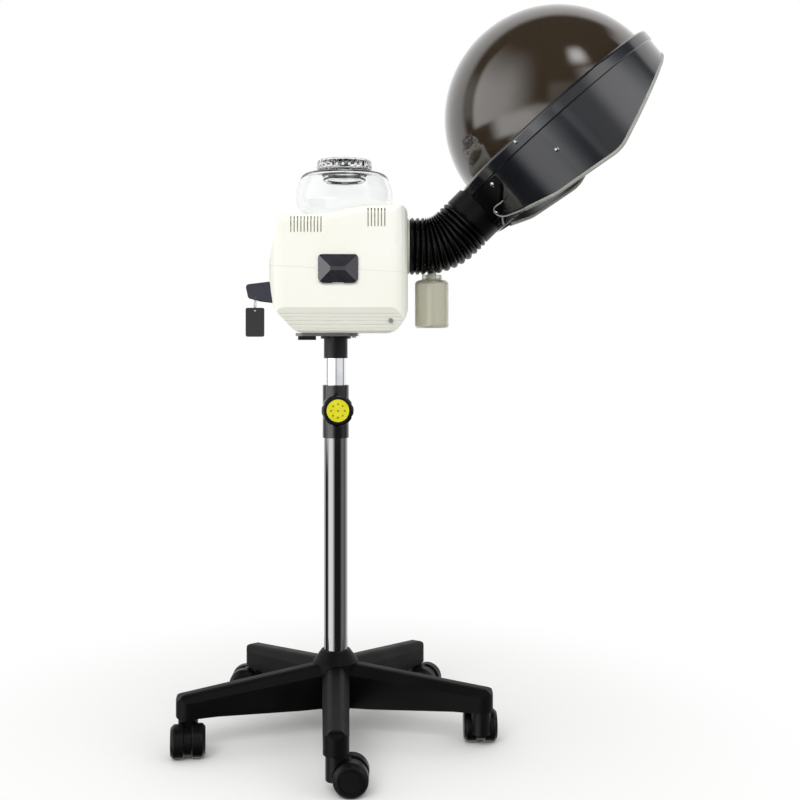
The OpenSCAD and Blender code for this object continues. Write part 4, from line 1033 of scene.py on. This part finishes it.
@dataclass
class Hood(SubAssembly):
    """The smoked dome, the slate skirt, the saddle bracket, the trim bead and the steam outlet."""

    looks = {
        Palette.skirt: ("hood_skirt",),
        Palette.saddle: ("hood_saddle",),
        Palette.zinc: ("hood_screws",),
        Palette.diffuser: ("steam_diffuser",),
    }
    centre: Point = (351.0, 0.0, 982.0)
    lean_deg: float = 41.0
    dome_r: float = 176.0
    dome_h: float = 177.0
    wall: float = 3.5
    dome_rows: int = 72
    dome_steps: int = 192
    skirt_r: float = 188.0
    taper: float = 4.0 / 140.0
    edge: tuple[Pair, ...] = (
        (-198.0, -75.5), (-150.4, -79.5), (-105.3, -94.0), (0.0, -106.0), (188.0, -33.0), (198.0, -29.0)
    )  # fmt: skip
    edge_radii: tuple[float, ...] = (0.0, 40.0, 60.0, 60.0, 0.0, 0.0)
    bead_end_deg: float = 143.0
    bead_steps: int = 240
    bead_size: Pair = (6.1, 5.4)
    bead_lift: float = 0.6
    bead_power: float = 0.6
    section_steps: int = 28
    corner_steps: int = 12
    tail_r: float = 1.0
    tab_r: float = 1.2
    tail_sides: int = 12
    # Points of the painted highlight's hook and of the tab below it, in the hood's frame
    tail: tuple[Point, ...] = (
        (-128.4, -135.3, -85.0), (-144.0, -128.5, -80.3), (-157.4, -111.7, -76.3), (-167.7, -95.4, -71.3),
        (-177.2, -76.5, -65.3), (-180.9, -67.3, -55.6), (-180.1, -69.3, -48.8), (-177.0, -77.0, -46.2),
        (-173.2, -85.2, -46.6), (-168.2, -94.6, -47.7), (-164.7, -100.5, -47.5),
    )  # fmt: skip
    tab: tuple[Point, ...] = (
        (-177.2, -76.5, -65.3), (-180.0, -65.6, -70.3), (-179.9, -54.3, -75.0)
    )  # fmt: skip

    @property
    def place(self) -> Place:
        """The hood's own frame: z towards the dome's top, x towards the front."""
        lean = math.radians(self.lean_deg)
        return Place(self.centre, (math.cos(lean), 0.0, math.sin(lean)), (-math.sin(lean), 0.0, math.cos(lean)))

    def dome(self) -> Object:
        """The dome: half an ellipse (r cos t, h sin t) turned about the hood's axis, with an even wall.

        Returns:
            The dome, closed round its rim.
        """
        rise = np.linspace(0, math.pi / 2, self.dome_rows)
        outer = np.stack([self.dome_r * np.cos(rise), self.dome_h * np.sin(rise)], axis=-1)
        inner_r, inner_h = self.dome_r - self.wall, self.dome_h - self.wall
        inner = np.stack([inner_r * np.cos(rise), inner_h * np.sin(rise)], axis=-1)
        profile = np.vstack([outer, inner[::-1], outer[:1]])
        return skin("smoked_dome", turned(profile, self.place, self.dome_steps), Palette.dome)

    def bead(self) -> Object:
        """The trim bead: a rounded section along the skirt's lower edge, round the front to the saddle. Its light
        grey is a painted highlight along that edge.

        The path is (r cos a, r sin a, h), where h follows the edge's outline at r cos a and r grows with h as
        the skirt tapers. The section is half its size times cos and sin to the power bead_power, which
        rounds a rectangle.

        Returns:
            The bead with its two round ends.
        """
        outline = rounded(self.edge, self.edge_radii, self.corner_steps)
        angle = np.radians(np.linspace(-self.bead_end_deg, self.bead_end_deg, self.bead_steps))
        height = np.interp(self.skirt_r * np.cos(angle), outline[:, 0], outline[:, 1])
        radius = self.skirt_r + height * self.taper
        height = np.interp(radius * np.cos(angle), outline[:, 0], outline[:, 1])
        flat = np.stack([np.cos(angle), np.sin(angle), 0 * angle], axis=-1)
        path = self.place.points(radius[:, None] * flat + height[:, None] * np.array([0.0, 0.0, 1.0]))
        side = self.place.points(flat) - self.place.points(0 * flat)
        circle = ring_section(1.0, self.section_steps)
        section = 0.5 * np.array(self.bead_size) * np.sign(circle) * np.abs(circle) ** self.bead_power
        section = (section - [self.wall / 2, self.bead_lift]) * MM
        return skin("trim_bead", capped(carried(path, side, section)), Palette.bead)

    def bead_tail(self, side: Side) -> Object:
        """A light grey hooked cord over the saddle, with the short tab below it: painted highlight, traced where the
        highlight on the skirt's edge turns round its back and runs down its end.

        Args:
            side: Side of the machine.

        Returns:
            The hook and the tab, thin round cords of painted highlight.
        """
        parts = []
        for corners, radius in ((self.tail, self.tail_r), (self.tab, self.tab_r)):
            local = eased(corners)
            local[:, 1] *= -side.value
            path = self.place.points(local)
            out = self.place.points(local * [1.0, 1.0, 0.0]) - self.place.points(0 * local)
            grid = carried(path, out, ring_section(radius * MM, self.tail_sides))
            parts.append(skin("tail", capped(grid), Palette.bead))
        return joined(f"bead_tail_{side.name.lower()}", parts)

    def models(self) -> None:
        """Adds the dome, the bead and the painted highlight hooks."""
        self.add(self.dome(), "hood", "dome_smoked", "hood_dome")
        self.add(self.bead(), "hood", "bead_trim", "edge_bead")
        for side in Side:
            self.add(self.bead_tail(side), "hood", "bead_trim")


# Studio


@dataclass(frozen=True)
class SoftBox:
    """A lamp with a flat panel: where it stands, what it looks at, its size and its power."""

    name: str
    stands: Point
    size: Pair
    power: float
    looks_at: Point = (0.1, 0.0, 0.65)

    def light(self) -> None:
        """Puts the lamp in the scene. Gloss doesn't show it: the mirrored lights are the studio's windows."""
        data = bpy.data.lights.new(self.name, "AREA")
        data.shape, data.size, data.size_y = "RECTANGLE", *self.size
        data.energy = self.power
        lamp = linked(self.name, data)
        lamp.location = self.stands
        lamp.rotation_euler = (Vector(self.looks_at) - Vector(self.stands)).to_track_quat("-Z", "Y").to_euler()
        lamp.visible_camera = lamp.visible_glossy = lamp.visible_transmission = False


@dataclass(frozen=True)
class Window:
    """A soft-edged field of light that gloss shows, as a mirror in a studio shows the boxes and pale walls.

    Azimuth counts in degrees to the right from the camera's side, elevation from level. Each has four values:
    where the light begins, is full, begins to fall and has gone.
    """

    azimuth: Four
    elevation: Four
    radiance: float

    def strength(self, tree: Tree, azimuth: Any, elevation: Any) -> Any:
        """Light of the field in a direction: the radiance times a smooth step at each of its four sides.

        Args:
            tree: The world's node tree.
            azimuth: Node with the direction's azimuth.
            elevation: Node with its elevation.

        Returns:
            Node with the radiance.
        """
        result: Any = self.radiance
        for angle, (begins, full, falls, gone) in ((azimuth, self.azimuth), (elevation, self.elevation)):
            for span in ((angle, begins, full, 0.0, 1.0), (angle, falls, gone, 1.0, 0.0)):
                edge = add_node(tree, "ShaderNodeMapRange", dict(enumerate(span)), interpolation_type="SMOOTHSTEP")
                result = add_node(tree, "ShaderNodeMath", {0: edge, 1: result}, operation="MULTIPLY")
        return result


@dataclass
class Studio:
    """Pale floor, white surroundings, soft lamps and the camera at the photograph's angle.

    The camera stands level at mid height. pixel_mm is the width that one of the photograph's 800 pixels
    covers at the column, which gives the lens, and horizon_row is the pixel row of the eye's level.
    """

    camera_x: float = 103.0
    camera_y: float = -1740.0
    camera_z: float = 628.0
    pixel_mm: float = 1.603
    image_px: int = 800
    sensor: float = 36.0
    horizon_row: float = 340.0
    floor_r: float = 9.0
    floor_fade: Pair = (0.25, 0.8)
    floor_pale: str = "#fafaf8"
    floor_dim: str = "#b4b4b0"
    floor_steps: int = 96
    floor_rings: tuple[int, int] = (9, 24)
    backdrop: Pair = (0.3, 0.48)
    room: float = 0.74
    darkness: float = 0.03
    boxes: tuple[SoftBox, ...] = (
        SoftBox("key_box", (-0.55, -2.55, 2.35), (2.4, 1.6), 49.0),
        SoftBox("fill_box", (2.4, -1.6, 1.6), (1.6, 1.6), 6.0),
    )
    fields: tuple[Window, ...] = (
        Window((-104, -94, -64, -20), (-7.5, -3.5, 16, 66), 2.3),  # broad light in the dome
        Window((-66, -48, -32, -6), (-46, -34, -12, -2), 1.5),  # stripe on the skirt
        Window((-125, -115, -105, -90), (-2, 6, 20, 40), 0.5),  # glow at the dome's left edge
        Window((-84, -62, -36, -2), (-24, -18, -6, 10), 2.75),  # pole's streak, and the dome's light lower down
        Window((40, 72, 80, 100), (-24, -18, -5, -2), 0.5),  # pole's paler right side
        Window((98, 106, 130, 150), (20, 30, 45, 60), 1),  # skirt's front end
        Window((8, 34, 80, 100), (2, 24, 36, 44), 1.9),  # skirt's right half
        Window((4, 21, 24, 42), (38, 51, 53, 66), 5),  # small lamp in the dome
        Window((70, 80, 104, 112), (-40, -30, 20, 30), 0.35),  # edge of the skirt and the pole
        Window((-80, -50, -24, 22), (-5.2, -2, -0.6, 8), 1.8),  # chrome tube, left
        Window((-14, 30, 84, 112), (-4, -2.2, 2, 14), 0.9),  # chrome tube, right
        Window((-20, -8, 40, 60), (-2, 4, 20, 30), 0.5),  # side catch
    )

    def camera(self) -> None:
        """Makes the camera. Its lens follows from the width of view at the column, its shift from the horizon."""
        data = bpy.data.cameras.new("camera")
        data.sensor_width = self.sensor
        data.lens = self.sensor * abs(self.camera_y) / (self.pixel_mm * self.image_px)
        data.shift_y = (self.horizon_row - self.image_px / 2) / self.image_px
        made = linked("camera", data)
        made.location = (self.camera_x * MM, self.camera_y * MM, self.camera_z * MM)
        made.rotation_euler = (math.pi / 2, 0.0, 0.0)
        bpy.context.scene.camera = made

    def paper(self) -> bpy.types.Material:
        """The floor's matt white paper. It fades to white in view, and gloss looks through it into the room.

        Returns:
            The floor's material.
        """
        paper = bpy.data.materials.new("studio_floor_matt")
        paper.use_nodes = True
        tree = paper.node_tree
        tree.nodes.clear()
        place = add_node(tree, "ShaderNodeTexCoord").outputs["Object"]
        far = add_node(tree, "ShaderNodeVectorMath", {0: place}, operation="LENGTH").outputs["Value"]
        span = (far, *self.floor_fade, 0.0, 1.0)
        fade = add_node(tree, "ShaderNodeMapRange", dict(enumerate(span)), interpolation_type="SMOOTHSTEP")
        path = add_node(tree, "ShaderNodeLightPath").outputs
        rays = {0: path["Is Camera Ray"], 1: path["Is Transmission Ray"]}
        direct = add_node(tree, "ShaderNodeMath", rays, operation="MAXIMUM")
        tones = {0: direct, 6: linear(self.floor_dim), 7: linear(self.floor_pale)}
        tone = add_node(tree, "ShaderNodeMix", tones, data_type="RGBA")
        matt = add_node(tree, "ShaderNodeBsdfDiffuse", {"Color": tone.outputs[2]})
        white = add_node(tree, "ShaderNodeEmission", {"Color": WHITE, "Strength": 1.0})
        clear = add_node(tree, "ShaderNodeBsdfTransparent")
        seen = add_node(tree, "ShaderNodeMath", {0: direct, 1: fade}, operation="MULTIPLY")
        surface = add_node(tree, "ShaderNodeMixShader", {0: seen, 1: matt, 2: white})
        surface = add_node(tree, "ShaderNodeMixShader", {0: path["Is Glossy Ray"], 1: surface, 2: clear})
        add_node(tree, "ShaderNodeOutputMaterial", {"Surface": surface})
        return paper

    def floor(self) -> None:
        """A pale disc on the ground, of rings that close on themselves."""
        near, far = self.floor_rings
        ring = np.concatenate([np.linspace(0, 1, near)[:-1], np.linspace(1, self.floor_r, far)])[:, None]
        angle = full_turn(self.floor_steps)
        grid = np.stack([ring * np.cos(angle), ring * np.sin(angle), 0 * ring * angle], -1)
        made = merged_mesh("studio_floor", grid.reshape(-1, 3), quads(*grid.shape[:2])[:, ::-1])
        made.data.materials.append(self.paper())

    def mirrored(self, tree: Tree) -> Any:
        """What gloss shows of the room: white behind the object, the lit fields, and dark between them.

        Args:
            tree: The world's node tree.

        Returns:
            Node with the radiance.
        """
        way = add_node(tree, "ShaderNodeTexCoord").outputs["Generated"]
        x, y, z = add_node(tree, "ShaderNodeSeparateXYZ", {0: way}).outputs
        forward = add_node(tree, "ShaderNodeMath", {0: y, 1: -1.0}, operation="MULTIPLY")
        turn = add_node(tree, "ShaderNodeMath", {0: x, 1: forward}, operation="ARCTAN2")
        rise = add_node(tree, "ShaderNodeMath", {0: z}, operation="ARCSINE")
        azimuth = add_node(tree, "ShaderNodeMath", {0: turn}, operation="DEGREES")
        elevation = add_node(tree, "ShaderNodeMath", {0: rise}, operation="DEGREES")
        span = (y, *self.backdrop, self.darkness, 1.0)
        total = add_node(tree, "ShaderNodeMapRange", dict(enumerate(span)), interpolation_type="SMOOTHSTEP")
        for field in self.fields:
            light = field.strength(tree, azimuth, elevation)
            total = add_node(tree, "ShaderNodeMath", {0: total, 1: light}, operation="MAXIMUM")
        return total

    def world(self) -> None:
        """White surroundings to the eye and through glass, an even room for light, and lit fields for gloss."""
        scene = bpy.context.scene
        scene.world = bpy.data.worlds.new("studio_world")
        scene.world.use_nodes = True
        tree = scene.world.node_tree
        tree.nodes.clear()
        path = add_node(tree, "ShaderNodeLightPath").outputs
        white, room, gloss = (
            add_node(tree, "ShaderNodeBackground", {"Color": WHITE, "Strength": strength})
            for strength in (1.0, self.room, self.mirrored(tree))
        )
        rays = {0: path["Is Camera Ray"], 1: path["Is Transmission Ray"]}
        seen = add_node(tree, "ShaderNodeMath", rays, operation="MAXIMUM")
        lit = add_node(tree, "ShaderNodeMixShader", {0: path["Is Glossy Ray"], 1: room, 2: gloss})
        all_rays = add_node(tree, "ShaderNodeMixShader", {0: seen, 1: lit, 2: white})
        add_node(tree, "ShaderNodeOutputWorld", {"Surface": all_rays})

    def build(self) -> None:
        """Sets up the view, the surroundings, the floor and the lamps."""
        bpy.context.scene.view_settings.view_transform = "Standard"
        self.camera()
        self.world()
        self.floor()
        for box in self.boxes:
            box.light()


def main() -> None:
    logging.basicConfig(level=logging.INFO, format="%(message)s")
    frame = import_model()
    Studio().build()
    for part in (Stand, Column, Generator, Controls, WaterJar, DripBottle, SteamHose, Hood):
        part(frame).build()


if __name__ == "__main__":
    main()
